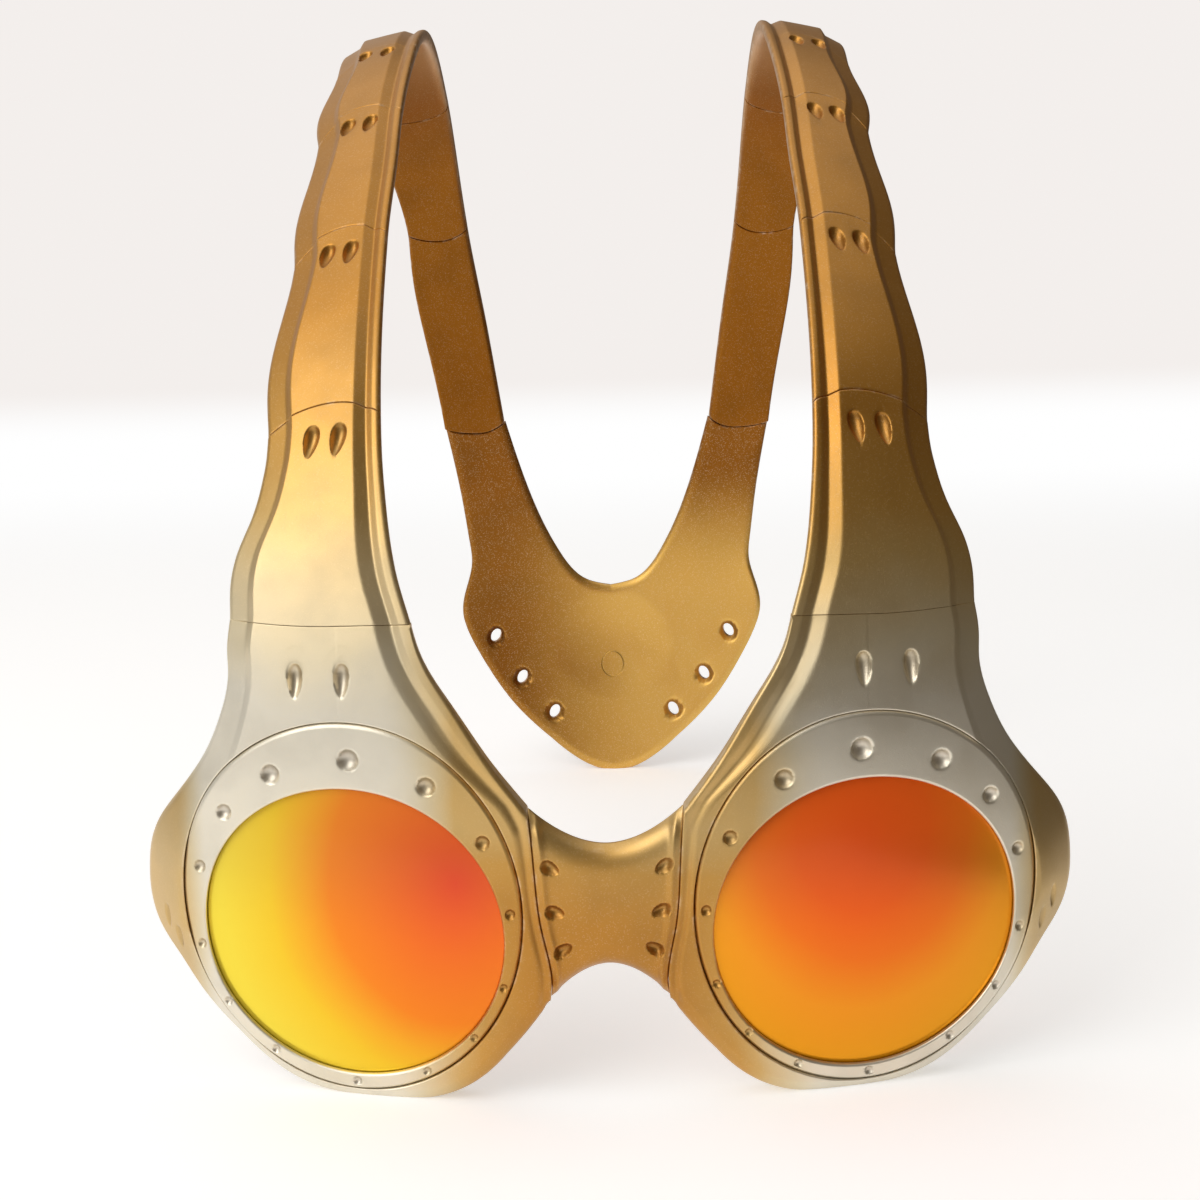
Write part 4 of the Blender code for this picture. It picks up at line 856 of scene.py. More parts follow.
def rear_edges(share):
    """Matching points of the rear plate's inner and outer edge, as (across, along)."""
    start = FRONT_HEIGHT + ARM_LENGTH * SEAM_SHARES[-1]
    inner = Curve((FRONT_HEIGHT, 0) + np.array(REAR_INNER_SHARES) * (ARM_LENGTH, float(inner_edge(start))))
    below = (FRONT_HEIGHT, 0) + np.array(REAR_OUTER_SHARES) * (ARM_LENGTH, REAR_HALF_WIDTH)
    outer = Curve(np.vstack([(start, float(outer_edge(start))), below]))
    low = inner.point(inner.at[-1] * share)[:, ::-1]
    high = outer.point(outer.at[-1] * eased(REAR_PAIR_SHARES, share))[:, ::-1]
    high[:, 1] = grounded(high[:, 1])
    return low, high


def rear_mesh(name):
    """The rear plate: rings that run from its U-shaped inner edge to its outer edge."""
    ends = np.array(seam_steps()) / REAR_ARM_LENGTH
    share = np.concatenate([ends, np.linspace(ends[-1] * 1.5, 1, REAR_STATIONS)])
    low, high = rear_edges(share)
    width = np.hypot(*(high - low).T)[:, None]
    inner_run = np.array(edge_steps(REAR_ROUND, 10) + [REAR_ROUND, 1.3 * REAR_ROUND])
    reach = columns(width, inner_run, REAR_ROWS, inner_run[::-1])
    part = (reach / width)[..., None]
    flat = low[:, None, :] + (high - low)[:, None, :] * part
    fade = np.clip(1 - share / REAR_SEAM_SHARE, 0, 1)[:, None] ** 2
    flat[..., 1] += (seam_at(LAST_SEAM, part[..., 0]) + SEAM_CRACK / 2 - seam_at(LAST_SEAM, 0.5)) * fade
    edge = np.minimum(reach, width - reach)
    to_seam = (share * REAR_ARM_LENGTH)[:, None] * np.ones_like(reach)
    front = plate_flank(edge) - rounded(edge, INNER_ROUND) - rounded(to_seam, SEAM_ROUND)
    back = -BAND_THICKNESS - FLANK_DROP / 4 * part[..., 0] ** 2
    from_middle = np.hypot(flat[..., 0] / DISH_HALF_WIDTH, (BAND_LENGTH - DISH_UP - flat[..., 1]) / DISH_HALF_HEIGHT)
    dish = DISH_DEPTH * np.clip(1 - from_middle**2, 0, 1) ** DISH_BEND
    back = back + dish + rounded(edge, REAR_ROUND) * BACK_ROUND / REAR_ROUND + rounded(to_seam, SEAM_ROUND)
    across = np.maximum(flat[..., 0], 0.0)
    rings = np.concatenate([place(across, flat[..., 1], front),
                            place(across, flat[..., 1], back)[:, ::-1]], axis=1)
    rings[-1, :, 0] = 0.0
    near = edge_near(np.minimum(edge, to_seam))
    nearness = np.hstack([near, near[:, ::-1]])
    points = np.concatenate([sided(rings, -1), rings[:-1][::-1]])
    return loft(name, points, reach.shape[1], np.concatenate([nearness, nearness[:-1][::-1]]))


def linked(name, data):
    """A new object in the scene."""
    made = bpy.data.objects.new(name, data)
    bpy.context.scene.collection.objects.link(made)
    return made


class Marks:
    """Places of moulded marks on one piece: where each lies, how it is turned, and its sizes."""

    def __init__(self):
        self.rows = []

    def add(self, across, along, raised, half_width, half_length, depth, taper, side, turn=0.0, tilt=0.0, inner=False):
        side_way, along_way, out = surface_axes(across, along)
        spin = math.radians(turn)
        first = side_way * math.cos(spin) + along_way * math.sin(spin)
        second = along_way * math.cos(spin) - side_way * math.sin(spin)
        first, out = first * math.cos(tilt) - out * math.sin(tilt), out * math.cos(tilt) + first * math.sin(tilt)
        if inner:
            out = -out
        at = place(across, along, raised)
        axes = [sided(way, side) for way in (at, first, second, out)]
        self.rows.append((*axes, (half_width, half_length, depth), taper))

    def object(self, name):
        mesh = bpy.data.meshes.new(name)
        mesh.from_pydata([tuple(row[0]) for row in self.rows], [], [])
        for column, label in enumerate(MARK_WAYS, 1):
            found = mesh.attributes.new(label, "FLOAT_VECTOR", "POINT")
            found.data.foreach_set("vector", np.array([row[column] for row in self.rows], np.float32).ravel())
        taper = mesh.attributes.new("mark_taper", "FLOAT", "POINT")
        taper.data.foreach_set("value", np.array([row[5] for row in self.rows], np.float32))
        return linked(name, mesh)


def add_teardrop_pair(marks, index, side):
    """Two moulded teardrops just below a seam, their pointed ends down the band."""
    away, centre_share, spread, stretch, turn = TEARDROP_PAIRS[index]
    along = float(seam_at(index, TEARDROP_SEAM_SHARE)) - away * TEARDROP_SPACING
    inner, outer = float(inner_edge(along)), float(outer_edge(along))
    middle = inner + (outer - inner) * centre_share
    for step in (-1, 1):
        across = middle + step * spread * TEARDROP_SPREAD
        marks.add(across, along, 0.0, TEARDROP_WIDTH / 2, TEARDROP_LENGTH / 2 * stretch, TEARDROP_DEPTH,
                  TEARDROP_TAPER, side, turn)
    return along


def rim_marks(side):
    marks = Marks()
    add_teardrop_pair(marks, 0, side)
    for reach, up in TEMPLE_TEARDROP_SHARES:
        across, along = FRONT_HALF_WIDTH * reach, FRONT_HEIGHT * up
        step = TEMPLE_TEARDROP_WIDTH / 2
        heights = rim_height(np.array([(across - step, along), (across, along), (across + step, along)]))
        tilt = -math.atan((heights[2] - heights[0]) / (2 * step))
        marks.add(across, along, heights[1], step, TEMPLE_TEARDROP_LENGTH / 2, TEMPLE_TEARDROP_DEPTH,
                  TEMPLE_TEARDROP_TAPER, side, TEMPLE_TEARDROP_TURN, tilt)
    return marks


def bezel_marks(side):
    """Round dimples along the middle of the ring, larger where the ring is wide."""
    marks = Marks()
    for degrees in DIMPLE_ANGLES:
        angle = math.radians(degrees)
        width = float(ellipse_reach(angle)) - LENS_RADIUS
        radius = DIMPLE_BASE + DIMPLE_WIDTH_SHARE * width
        reach = LENS_RADIUS + width * DIMPLE_REACH_SHARE
        marks.add(*around_lens(angle, reach), 0.0, radius, radius, radius * DIMPLE_DEPTH_SHARE, 0.0, side)
    return marks


def bridge_marks():
    marks = Marks()
    for side in (-1, 1):
        for reach, up, turn in BRIDGE_TEARDROPS:
            along = BRIDGE_BOTTOM + (BRIDGE_TOP - BRIDGE_BOTTOM) * up
            marks.add(BRIDGE_HALF_WIDTH * reach, along, -CREASE_ROUND, BRIDGE_TEARDROP_WIDTH / 2,
                      BRIDGE_TEARDROP_LENGTH / 2, TEARDROP_DEPTH * BRIDGE_TEARDROP_DEPTH_SHARE,
                      BRIDGE_TEARDROP_TAPER, side, turn)
    return marks


def rear_marks(inner):
    """Where the rear plate's slanted oval holes lie, or the dished sinks round them on the inner face."""
    marks = Marks()
    for side in (-1, 1):
        for station, reach in REAR_HOLE_SHARES:
            across, along = REAR_HALF_WIDTH * reach, FRONT_HEIGHT + ARM_LENGTH * station
            raised = -BAND_THICKNESS if inner else -BAND_THICKNESS / 2
            marks.add(across, along, raised, SINK_WIDTH / 2, SINK_LENGTH / 2, SINK_DEPTH, 0.0, side, HOLE_TURN,
                      inner=inner)
    return marks


SOCKET_KINDS = {"Geometry": "Geometry", "Marks": "Object", "Surface": "Material", "Vector": "Vector",
                "Corner Count": "Int"}


class Wire:
    """One output of a node, which can be reckoned with like a number."""

    def __init__(self, tree, socket):
        self.tree, self.socket = tree, socket

    def __getitem__(self, key):
        """Another output of the same node."""
        return Wire(self.tree, self.socket.node.outputs[key])

    def __add__(self, other):
        return self.tree.maths("ADD", self, other)

    def __sub__(self, other):
        return self.tree.maths("SUBTRACT", self, other)

    def __rsub__(self, other):
        return self.tree.maths("SUBTRACT", other, self)

    def __mul__(self, other):
        return self.tree.maths("MULTIPLY", self, other)

    def __truediv__(self, other):
        return self.tree.maths("DIVIDE", self, other)

    def ranged(self, low, high, out_low=0.0, out_high=1.0, kind="SMOOTHSTEP"):
        """The value brought from one range to another."""
        inputs = dict(enumerate((self, low, high, out_low, out_high)))
        return self.tree.add("ShaderNodeMapRange", inputs, interpolation_type=kind)


class Tree:
    """A node tree, with short ways to add nodes to it."""

    def __init__(self, tree):
        self.tree = tree

    def wire(self, node, inputs):
        """Links wires or sets plain values on a node's inputs, by name or number."""
        for key, value in inputs.items():
            if isinstance(value, Wire):
                self.tree.links.new(value.socket, node.inputs[key])
            else:
                node.inputs[key].default_value = value

    def add(self, kind, inputs=None, **settings):
        """A new node, given back as its first output."""
        node = self.tree.nodes.new(kind)
        for name, value in settings.items():
            setattr(node, name, value)
        self.wire(node, inputs or {})
        return Wire(self, node.outputs[0])

    def give(self, outputs):
        """Sends values out of a node group, and gives the group back."""
        self.wire(self.tree.nodes.new("NodeGroupOutput"), outputs)
        return self.tree

    def maths(self, operation, *values):
        return self.add("ShaderNodeMath", dict(enumerate(values)), operation=operation)

    def vector(self, operation, *values):
        made = self.add("ShaderNodeVectorMath", dict(enumerate(values)), operation=operation)
        return made["Value"] if operation in ("DOT_PRODUCT", "LENGTH") else made

    def split(self, vector):
        return self.add("ShaderNodeSeparateXYZ", {0: vector})

    def noise(self, where, scale, detail, **more):
        return self.add("ShaderNodeTexNoise", {"Vector": where, "Scale": scale, "Detail": detail, **more})["Fac"]

    def mix(self, first, second, factor, blend="MIX"):
        """One colour from two."""
        return self.add("ShaderNodeMix", {0: factor, 6: first, 7: second}, data_type="RGBA", blend_type=blend)[2]

    def ramp(self, coats, where):
        """The colour at a place on a run of (place, colour) coats."""
        made = self.add("ShaderNodeValToRGB", {0: where})
        stops = made.socket.node.color_ramp.elements
        for stop, coat in ((stops[0], coats[0]), (stops[1], coats[-1])):
            stop.position, stop.color = coat
        for position, colour in coats[1:-1]:
            stops.new(position).color = colour
        return made

    def bump(self, height, distance, strength=1.0, **settings):
        return self.add("ShaderNodeBump", {"Height": height, "Distance": distance, "Strength": strength}, **settings)

    def attribute(self, name):
        return self.add("ShaderNodeAttribute", attribute_name=name)["Fac"]

    def group(self, group, inputs):
        return self.add("ShaderNodeGroup", inputs, node_tree=group)

    def named(self, name, kind="FLOAT_VECTOR"):
        return self.add("GeometryNodeInputNamedAttribute", {"Name": name}, data_type=kind)

    def painted(self, geometry, surface):
        real = self.add("GeometryNodeRealizeInstances", {"Geometry": geometry})
        return self.add("GeometryNodeSetMaterial", {"Geometry": real, "Material": surface})


def new_group(name, kind, given, returned):
    """A node group. Its inputs and outputs hold numbers, unless their name is one of the kinds of socket."""
    group = bpy.data.node_groups.new(name, kind)
    for way, labels in (("INPUT", given), ("OUTPUT", returned)):
        for label in labels:
            group.interface.new_socket(label, in_out=way, socket_type="NodeSocket" + SOCKET_KINDS.get(label, "Float"))
    tree = Tree(group)
    return tree, tree.add("NodeGroupInput")


def dent_group():
    """Presses a bowl or a teardrop into the surface at every mark."""
    tree, given = new_group(
        "moulded_dents", "GeometryNodeTree",
        ("Geometry", "Marks", "Depth Share", "Edge Softness", "Fullness", "Reach Below", "Surface"), ("Geometry",))
    marks = tree.add("GeometryNodeObjectInfo", {"Object": given["Marks"]})["Geometry"]
    index = tree.add("GeometryNodeSampleNearest", {"Geometry": marks})["Index"]
    position = tree.add("GeometryNodeInputPosition")

    def carried(value, kind="FLOAT_VECTOR"):
        """What the mark nearest to each point carries."""
        return tree.add("GeometryNodeSampleIndex", {"Geometry": marks, "Value": value, "Index": index}, data_type=kind)

    first, second, out, size = (carried(tree.named(name)) for name in MARK_WAYS)
    taper = carried(tree.named("mark_taper", "FLOAT"), "FLOAT")
    size = tree.split(size)
    gap = tree.vector("SUBTRACT", position, carried(position))
    across = tree.vector("DOT_PRODUCT", gap, first) / size[0]
    along = tree.vector("DOT_PRODUCT", gap, second) / size[1]
    above = tree.vector("DOT_PRODUCT", gap, out)
    tail = tree.maths("MAXIMUM", tree.maths("MINIMUM", (1.0 - along) * 0.5, TAIL_END), 0.0)
    narrow = tree.maths("MAXIMUM", 1.0 - taper * tail, NARROWEST)
    squeezed = across / narrow
    spread = squeezed * squeezed + along * along
    soft = given["Edge Softness"]
    bowl = 1.0 - spread
    bowl = (bowl + tree.maths("SQRT", bowl * bowl + soft * soft)) * 0.5
    bowl = tree.maths("POWER", bowl, given["Fullness"])
    near = tree.maths("GREATER_THAN", above, given["Reach Below"] * -1.0) * tree.maths("LESS_THAN", spread, 4.0)
    depth = bowl * size[2] * narrow * near * given["Depth Share"]
    # Keeps how far into a dent each point lies, which the paint darkens as painted shade in the recess
    kept = tree.add("GeometryNodeStoreNamedAttribute",
                    {"Geometry": given["Geometry"], "Name": "dent", "Value": bowl * near},
                    data_type="FLOAT", domain="POINT")
    offset = tree.add("ShaderNodeVectorMath", {0: out, "Scale": depth * -1.0}, operation="SCALE")
    moved = tree.add("GeometryNodeSetPosition", {"Geometry": kept, "Offset": offset})
    return tree.give({"Geometry": tree.painted(moved, given["Surface"])})


def hole_group():
    """Cuts an oval hole through the plate at every mark."""
    tree, given = new_group(
        "oval_holes", "GeometryNodeTree",
        ("Geometry", "Marks", "Hole Width", "Hole Length", "Hole Depth", "Corner Count", "Surface"), ("Geometry",))
    marks = tree.add("GeometryNodeObjectInfo", {"Object": given["Marks"]})["Geometry"]
    cylinder = tree.add("GeometryNodeMeshCylinder",
                        {"Vertices": given["Corner Count"], "Radius": 0.5, "Depth": 1.0})["Mesh"]
    turn = tree.add("FunctionNodeAxesToRotation", {0: tree.named("out_way"), 1: tree.named("across_way")},
                    primary_axis="Z", secondary_axis="X")
    size = tree.add("ShaderNodeCombineXYZ",
                    {0: given["Hole Width"], 1: given["Hole Length"], 2: given["Hole Depth"]})
    copies = tree.add("GeometryNodeInstanceOnPoints",
                      {"Points": marks, "Instance": cylinder, "Rotation": turn, "Scale": size})
    tools = tree.add("GeometryNodeRealizeInstances", {"Geometry": copies})
    cut = tree.add("GeometryNodeMeshBoolean", {"Mesh 1": given["Geometry"], "Mesh 2": tools},
                   operation="DIFFERENCE", solver="EXACT")
    return tree.give({"Geometry": tree.painted(cut["Mesh"], given["Surface"])})


def grown(piece, group, marks, settings):
    """Runs a node group on a piece, with its marks, and keeps the result as the piece's plain mesh."""
    points = marks.object(piece.name + "_marks")
    change = piece.modifiers.new(group.name, "NODES")
    change.node_group = group
    names = {item.name: item.identifier for item in group.interface.items_tree if item.in_out == "INPUT"}
    for name, value in {"Marks": points, **settings}.items():
        change[names[name]] = value
    graph = bpy.context.evaluated_depsgraph_get()
    mesh = bpy.data.meshes.new_from_object(piece.evaluated_get(graph), depsgraph=graph)
    piece.modifiers.remove(change)
    old = piece.data
    mesh.name = old.name
    piece.data = mesh
    bpy.data.meshes.remove(old)
    bpy.data.objects.remove(points)


def spray_fade_group():
    """Where the paint turns from bronze to champagne: on the rims, away from the bridge and the temples, and higher up
    near the bridge as a painted highlight along its top.
    """
    tree, given = new_group(
        "spray_fade", "ShaderNodeTree",
        ("Vector", "Low Height", "High Height", "Bridge Reach", "Rim Reach", "Temple Reach", "Temple Share"),
        ("Champagne",))
    spot = tree.split(given["Vector"])
    drift = (tree.noise(given["Vector"], 28.0, 3.0) - 0.5) * FADE_DRIFT
    up = spot[2] + drift
    across = tree.maths("ABSOLUTE", spot[0])
    height = up.ranged(given["High Height"], given["Low Height"], kind="LINEAR")
    bridge = (across + drift).ranged(given["Bridge Reach"], given["Rim Reach"])
    # Painted highlight: lighter paint toward the top of the bridge and the rims' nose side
    brow = up.ranged(*BROW_HIGHLIGHT_HEIGHTS) * BROW_HIGHLIGHT_SHARE
    shoulder = up.ranged(*SHOULDER_HEIGHTS) * across.ranged(*SHOULDER_REACHES)
    bridge = tree.maths("MAXIMUM", tree.maths("MAXIMUM", bridge, brow), shoulder)
    start = given["Temple Reach"]
    temple = 1.0 - across.ranged(start, start + TEMPLE_FADE_WIDTH) * given["Temple Share"]
    front = spot[1].ranged(*FRONT_DEPTHS)
    return tree.give({"Champagne": height * bridge * (temple * front)})


def flake_group():
    """Fine metal flake, its glints painted into the colour as lighter specks, and a slight unevenness of sprayed paint.
    """
    tree, given = new_group("flake_grain", "ShaderNodeTree", ("Vector", "Flake Scale", "Flake Tilt"),
                            ("Glint", "Cloud", "Height"))
    where, scale = given["Vector"], given["Flake Scale"]
    grain = tree.noise(where, scale, 2.0, Roughness=0.65)
    flakes = tree.add("ShaderNodeTexVoronoi", {"Vector": where, "Scale": scale * 1.6})["Color"]
    glint = tree.add("ShaderNodeSeparateColor", {0: flakes}).ranged(0.80, 1.0)
    return tree.give({"Glint": glint, "Cloud": tree.noise(where, 90.0, 4.0),
                      "Height": (grain + glint) * given["Flake Tilt"]})


def rub_and_highlight_group():
    """Where the paint is worn thin along the edges, and where the bridge's top takes its painted highlight."""
    tree, given = new_group("edge_rub", "ShaderNodeTree", ("Vector", "Edge", "Amount"), ("Mask",))
    broken = tree.noise(given["Vector"], 420.0, 5.0, Roughness=0.7).ranged(0.45, 0.75)
    return tree.give({"Mask": given["Edge"].ranged(0.35, 1.0) * broken * given["Amount"]})


def new_material(name):
    made = bpy.data.materials.new(name)
    made.use_nodes = True
    return made, Tree(made.node_tree), made.node_tree.nodes["Principled BSDF"]


def paint_material(name, groups, glint_share=0.12, grain=1.0, metallic=0.9, ringed=False):
    """Satin metallic spray paint, bronze that fades to champagne on the rims, with painted shade on the inner faces and
    in the dents, and painted highlights and glints.
    """
    made, tree, shader = new_material(name)
    coordinates = tree.add("ShaderNodeTexCoord")
    where = coordinates["Object"]
    spot, facing = tree.split(where), tree.split(coordinates["Normal"])
    # The fade's top is higher on the left arm, a painted highlight there
    champagne = tree.group(groups["fade"], {
        "Vector": where, "Low Height": 0.064, "High Height": spot[0].ranged(*FADE_TOPS_LIT_LEFT),
        "Bridge Reach": 0.010, "Rim Reach": 0.036, "Temple Reach": 0.064, "Temple Share": 0.45,
    })
    flake = tree.group(groups["flake"], {"Vector": where, "Flake Scale": 3800.0, "Flake Tilt": grain})
    rub_and_highlight_mask = tree.group(groups["rub"], {"Vector": where, "Edge": tree.attribute("edge"), "Amount": 0.5})
    cloud = flake["Cloud"]
    share = champagne + cloud.ranged(0.3, 0.7, -0.03, 0.03, kind="LINEAR")
    # The inner faces of the band's back, which the colour darkens below as painted shade
    inside = shaded_inside = spot[1].ranged(*INSIDE_DEPTHS) * facing[1].ranged(*INSIDE_FACING)
    # Painted highlight on the rear plate's inner face: lighter gold paint on its lower middle and right
    if ringed:
        plate_highlight = spot[2].ranged(*PLATE_HIGHLIGHT_HEIGHTS) * spot[0].ranged(*PLATE_HIGHLIGHT_REACHES) * inside
        share = share + plate_highlight * PLATE_HIGHLIGHT_LIFT
        shaded_inside = inside - plate_highlight
    colour = tree.mix(tree.ramp(PAINT_COATS, share), CLOUD_SHADE, cloud.ranged(0.4, 0.8, 0.0, 0.6), "MULTIPLY")
    # Painted shade on the inner faces, left out where the plate's painted highlight lies
    colour = tree.mix(colour, INSIDE_PAINTED_SHADE, shaded_inside, "MULTIPLY")
    # The rear plate's painted highlight
    if ringed:
        colour = tree.mix(colour, PLATE_HIGHLIGHT_COLOUR, plate_highlight)
    # Painted shade: the colour darkens inside the dents and teardrops, where shade falls in the recess
    colour = tree.mix(colour, DENT_PAINTED_SHADE, tree.attribute("dent").ranged(0.05, 0.6), "MULTIPLY")
    # Painted glints: specks of the metal flake lightened in the colour
    colour = tree.mix(colour, FLAKE_GLINT_COLOUR, flake["Glint"] * glint_share)
    # Paint worn lighter along the edges, and the painted highlight along the bridge's top
    colour = tree.mix(colour, RUB_AND_HIGHLIGHT_COLOUR, rub_and_highlight_mask)
    normal = tree.bump(flake["Height"], 0.000012, 0.55)
    if ringed:
        flat = tree.vector("MULTIPLY", tree.vector("SUBTRACT", where, (0, 0, RING_UP)), (RING_SQUEEZE, 0, 1))
        off_line = tree.maths("ABSOLUTE", tree.vector("LENGTH", flat) - RING_RADIUS)
        groove = tree.bump(off_line.ranged(RING_LINE, 0.0) * inside, RING_LINE, invert=True)
        tree.wire(groove.socket.node, {"Normal": normal})
        normal = groove
    tree.wire(shader, {
        "Base Color": colour, "Roughness": cloud.ranged(0.3, 0.7, 0.36, 0.44) - rub_and_highlight_mask * 0.08, "Normal": normal,
        "Metallic": metallic, "Coat Weight": (1.0 - inside) * 0.3, "Coat Roughness": 0.32, "Coat IOR": 1.6,
    })
    return made


def lens_material(name, focus, coats):
    """Fire-coloured mirror coating, its colour running outwards from one side of the lens."""
    made, tree, shader = new_material(name)
    where = tree.add("ShaderNodeTexCoord")["Object"]
    gap = tree.vector("MULTIPLY", tree.vector("SUBTRACT", where, focus), LENS_COLOUR_SQUEEZE)
    reach = tree.vector("LENGTH", gap) / LENS_COLOUR_REACH + (tree.noise(where, 30.0, 2.0) - 0.5) * 0.10
    tree.wire(shader, {
        "Base Color": tree.ramp(coats, reach), "Roughness": tree.noise(where, 900.0, 3.0).ranged(0.45, 0.8, 0.20, 0.23),
        "Metallic": tree.split(where)[2].ranged(*LENS_METAL_HEIGHTS), "Specular IOR Level": 0.25,
        "Coat Weight": 0.04, "Coat Roughness": 0.05,
    })
    return made


def rubber_material(name):
    """Soft dark rubber with a fine moulded grain."""
    made, tree, shader = new_material(name)
    grain = tree.noise(tree.add("ShaderNodeTexCoord")["Object"], 3200.0, 3.0)
    colour = tree.mix(RUBBER_SHADE, RUBBER_COLOUR, grain)
    tree.wire(shader, {"Base Color": colour, "Normal": tree.bump(grain, 0.00002, 0.5), "Roughness": 0.72})
    return made


def build_pieces():
    groups = {"fade": spray_fade_group(), "flake": flake_group(), "rub": rub_and_highlight_group()}
    band_paint = paint_material("sprayed_bronze", groups)
    rim_paint = paint_material("sprayed_champagne", groups, glint_share=0.08)
    plate_paint = paint_material("sprayed_plate", groups, glint_share=0.32, grain=2.2, metallic=0.85, ringed=True)
    dents, holes = dent_group(), hole_group()

    def add_piece(name, mesh, surface, marks, body, node, drilled=None):
        """One visible piece, with a dent at each mark and a hole at each drilled one, tied to its body, and the
        imported node it replaces hidden.
        """
        piece = linked(name, mesh)
        if marks.rows:
            grown(piece, dents, marks, {"Depth Share": 1.0, "Edge Softness": DENT_SOFTNESS, "Surface": surface,
                                        "Fullness": DENT_FULLNESS, "Reach Below": DENT_REACH})
        if drilled:
            grown(piece, holes, drilled, {"Hole Width": HOLE_WIDTH, "Hole Length": HOLE_LENGTH, "Surface": surface,
                                          "Hole Depth": 3 * BAND_THICKNESS, "Corner Count": HOLE_CORNERS})
        shape = piece.data
        shape.materials.clear()
        shape.materials.append(surface)
        shape.polygons.foreach_set("material_index", np.zeros(len(shape.polygons), np.int32))
        shape.shade_smooth()
        shape.set_sharp_from_angle(angle=math.radians(SHARP_ANGLE))
        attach(piece, body)
        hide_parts(node)

    for word, side, focus, coats in (("left", -1, LEFT_LENS_FOCUS, LEFT_LENS_COATS),
                                     ("right", 1, RIGHT_LENS_FOCUS, RIGHT_LENS_COATS)):
        name = f"{word}_rim_shell"
        add_piece(name, rim_mesh(name, side), rim_paint, rim_marks(side), "front", f"{word}_rim")
        name = f"{word}_bezel_ring"
        add_piece(name, bezel_mesh(name, side), rim_paint, bezel_marks(side), "front", f"{word}_bezel")
        name = f"{word}_mirror_lens"
        mirror = lens_material(f"{word}_fire_mirror", focus, coats)
        add_piece(name, lens_mesh(name, side), mirror, Marks(), "front", f"{word}_lens")
        for number in range(1, LAST_SEAM + 1):
            name = f"{word}_arm_shell_{number}"
            marks, spans = Marks(), []
            if number < len(TEARDROP_PAIRS):
                start = add_teardrop_pair(marks, number, side) - float(seam_at(number - 1, 0.5))
                half_span = TEARDROP_SPAN_SHARE * TEARDROP_LENGTH
                spans = [(start - half_span, start + half_span)]
            add_piece(name, arm_mesh(name, number, side, spans), band_paint, marks, f"band_{number}",
                      f"{word}_arm_segment_{number}")
    add_piece("bridge_shell", bridge_mesh("bridge_shell"), band_paint, bridge_marks(), "front", "bridge")
    add_piece("rear_plate_shell", rear_mesh("rear_plate_shell"), plate_paint, rear_marks(inner=True), "rear",
              "rear_plate", drilled=rear_marks(inner=False))

    rubber = rubber_material("soft_rubber")
    for word in ("left", "right"):
        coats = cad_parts[f"{word}_nose_pad"].data.materials
        coats.clear()
        coats.append(rubber)


def add_floor():
    """A white table top that turns into the off-white wall far behind the glasses; seen in reflections it dims to the
    right, a painted shadow.
    """
    mesh = bpy.data.meshes.new("table_top")
    mesh.from_pydata(FLOOR_CORNERS, [], [(0, 1, 2, 3)])
    made, tree, shader = new_material("table_white")
    where = tree.add("ShaderNodeTexCoord")["Object"]
    spot = tree.split(where)
    across, far = spot[0], spot[1]
    colour = tree.mix(TABLE_SHADE, TABLE_COLOUR, tree.noise(where, 3.0, 3.0))
    tree.wire(shader, {"Base Color": colour, "Roughness": 0.75, "Specular IOR Level": 0.2})
    table = Wire(tree, shader.outputs[0])
    lift = tree.add("ShaderNodeEmission", {"Color": (1, 1, 1, 1), "Strength": FLOOR_LIFT})
    lifted = tree.add("ShaderNodeAddShader", {0: table, 1: lift})
    pale = tree.mix((1, 1, 1, 1), WALL_COLOUR, far.ranged(0.65 * FLOOR_END, FLOOR_END))
    distant = tree.add("ShaderNodeMixShader", {0: far.ranged(0.2 * FLOOR_END, 0.5 * FLOOR_END), 1: lifted,
                                               2: tree.add("ShaderNodeEmission", {"Color": pale})})
    path = tree.add("ShaderNodeLightPath")
    # Reflected rays see the floor's glow dimmed on the right, a painted shadow in the reflections there
    mirrored = path["Is Glossy Ray"] * across.ranged(*FLOOR_REFLECTION_SHADE)
    direct = tree.maths("MAXIMUM", path["Is Camera Ray"], mirrored)
    seen = tree.add("ShaderNodeMixShader", {0: direct, 1: table, 2: distant})
    tree.wire(made.node_tree.nodes["Material Output"], {"Surface": seen})
    mesh.materials.append(made)
    linked("table_top", mesh)


def set_axes(made, side, up, out, where):
    made.matrix_world = Matrix([*zip(side, up, out, where), (0, 0, 0, 1)])


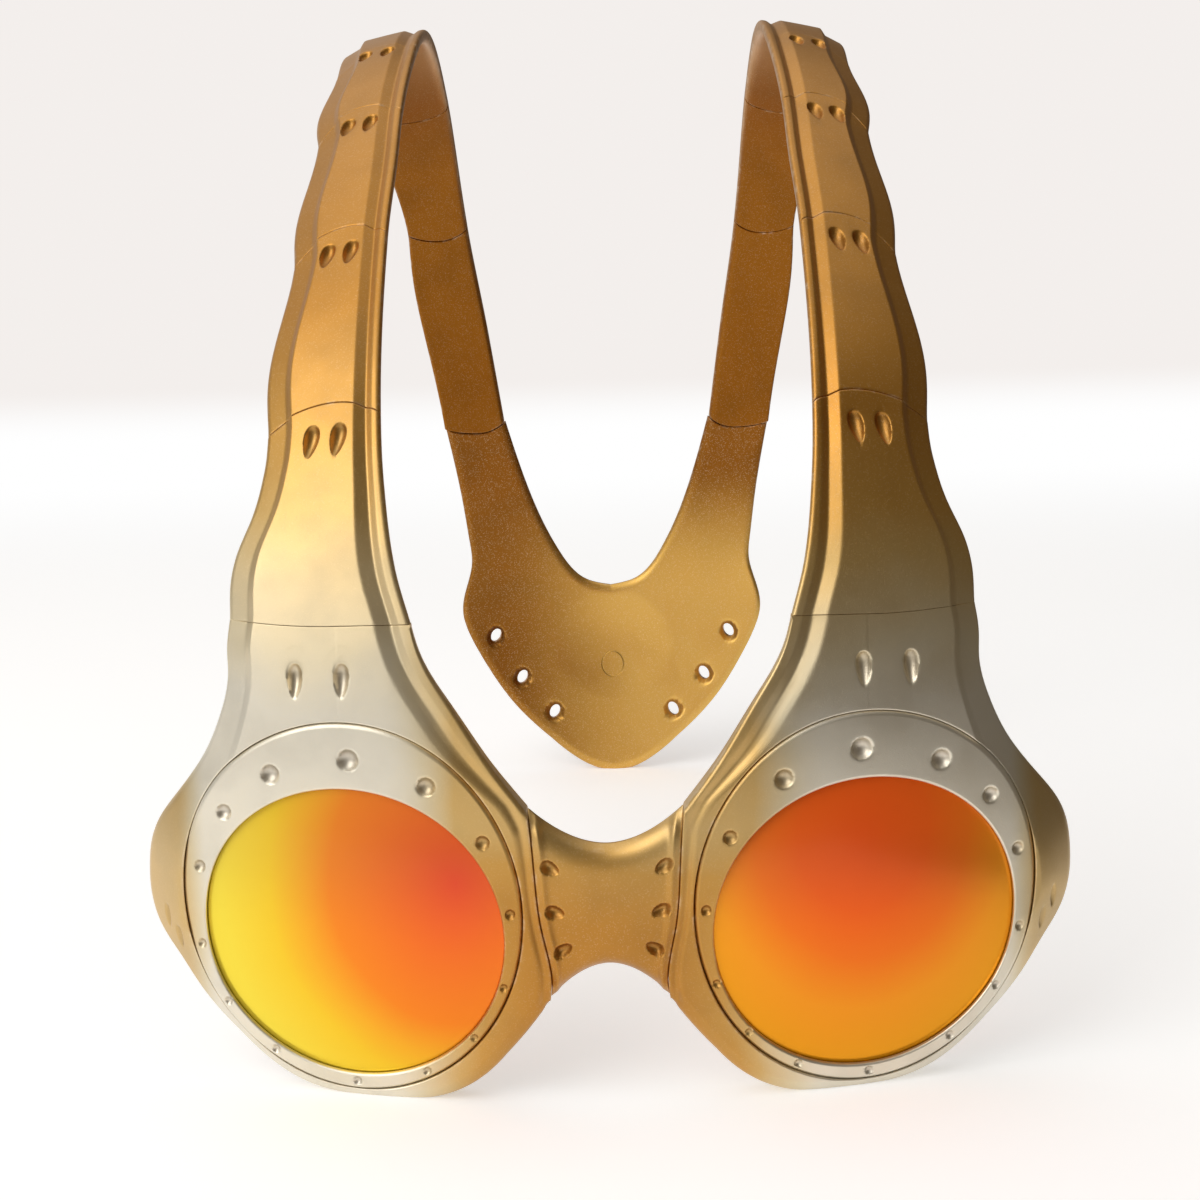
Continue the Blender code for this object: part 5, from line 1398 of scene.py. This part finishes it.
def add_light(name, where, target, size, power, colour=(1, 1, 1)):
    lamp = bpy.data.lights.new(name, "AREA")
    lamp.shape = "RECTANGLE"
    lamp.size, lamp.size_y = size
    lamp.energy = power
    lamp.color = colour
    made = linked(name, lamp)
    way = np.array(where, float) - np.array(target, float)
    out = way / np.linalg.norm(way)
    side = np.cross((0, 0, 1), out)
    side = side / np.linalg.norm(side)
    set_axes(made, side, np.cross(out, side), out, where)


def add_world():
    """A warm off-white wall behind, and a dimmer room for what the paint and lenses reflect."""
    world = bpy.data.worlds.new("studio")
    bpy.context.scene.world = world
    world.use_nodes = True
    world.node_tree.nodes.clear()
    tree = Tree(world.node_tree)
    across = tree.split(tree.add("ShaderNodeTexCoord")["Generated"])
    colour = tree.mix(ROOM_BRIGHT, ROOM_DARK, across.ranged(*ROOM_ACROSS))
    colour = tree.mix(colour, ROOM_SIDE, across.ranged(*ROOM_EDGE))
    room = tree.add("ShaderNodeBackground", {"Color": colour, "Strength": ROOM_STRENGTH})
    wall = tree.add("ShaderNodeBackground", {"Color": WALL_COLOUR, "Strength": 1.0})
    camera_ray = tree.add("ShaderNodeLightPath")["Is Camera Ray"]
    mix = tree.add("ShaderNodeMixShader", {0: camera_ray, 1: room, 2: wall})
    tree.wire(world.node_tree.nodes.new("ShaderNodeOutputWorld"), {"Surface": mix})


def add_camera():
    """The camera stands in front, a little above the rims, and looks slightly down."""
    pitch, yaw, roll = (math.radians(turn) for turn in CAMERA_TURNS)
    ahead = np.array((math.sin(yaw) * math.cos(pitch), math.cos(yaw) * math.cos(pitch), -math.sin(pitch)))
    right = np.array((math.cos(yaw), -math.sin(yaw), 0.0))
    up = np.cross(right, ahead)
    side = math.cos(roll) * right + math.sin(roll) * up
    top = -math.sin(roll) * right + math.cos(roll) * up
    lens = bpy.data.cameras.new("camera")
    lens.sensor_width, lens.lens, lens.clip_start = CAMERA_SENSOR, CAMERA_LENS, 0.01
    made = linked("camera", lens)
    set_axes(made, side, top, -ahead, CAMERA_AT)
    bpy.context.scene.camera = made


build_pieces()
add_floor()
add_light("window", (-0.72, -0.72, 0.80), (0, 0, 0.10), (0.9, 1.25), 7.0, (1.0, 0.98, 0.95))
add_light("ceiling", (0.0, 0.08, 1.25), (0, 0, 0.05), (1.3, 1.3), 3.6)
add_world()
add_camera()
bpy.context.scene.view_settings.view_transform = "Standard"
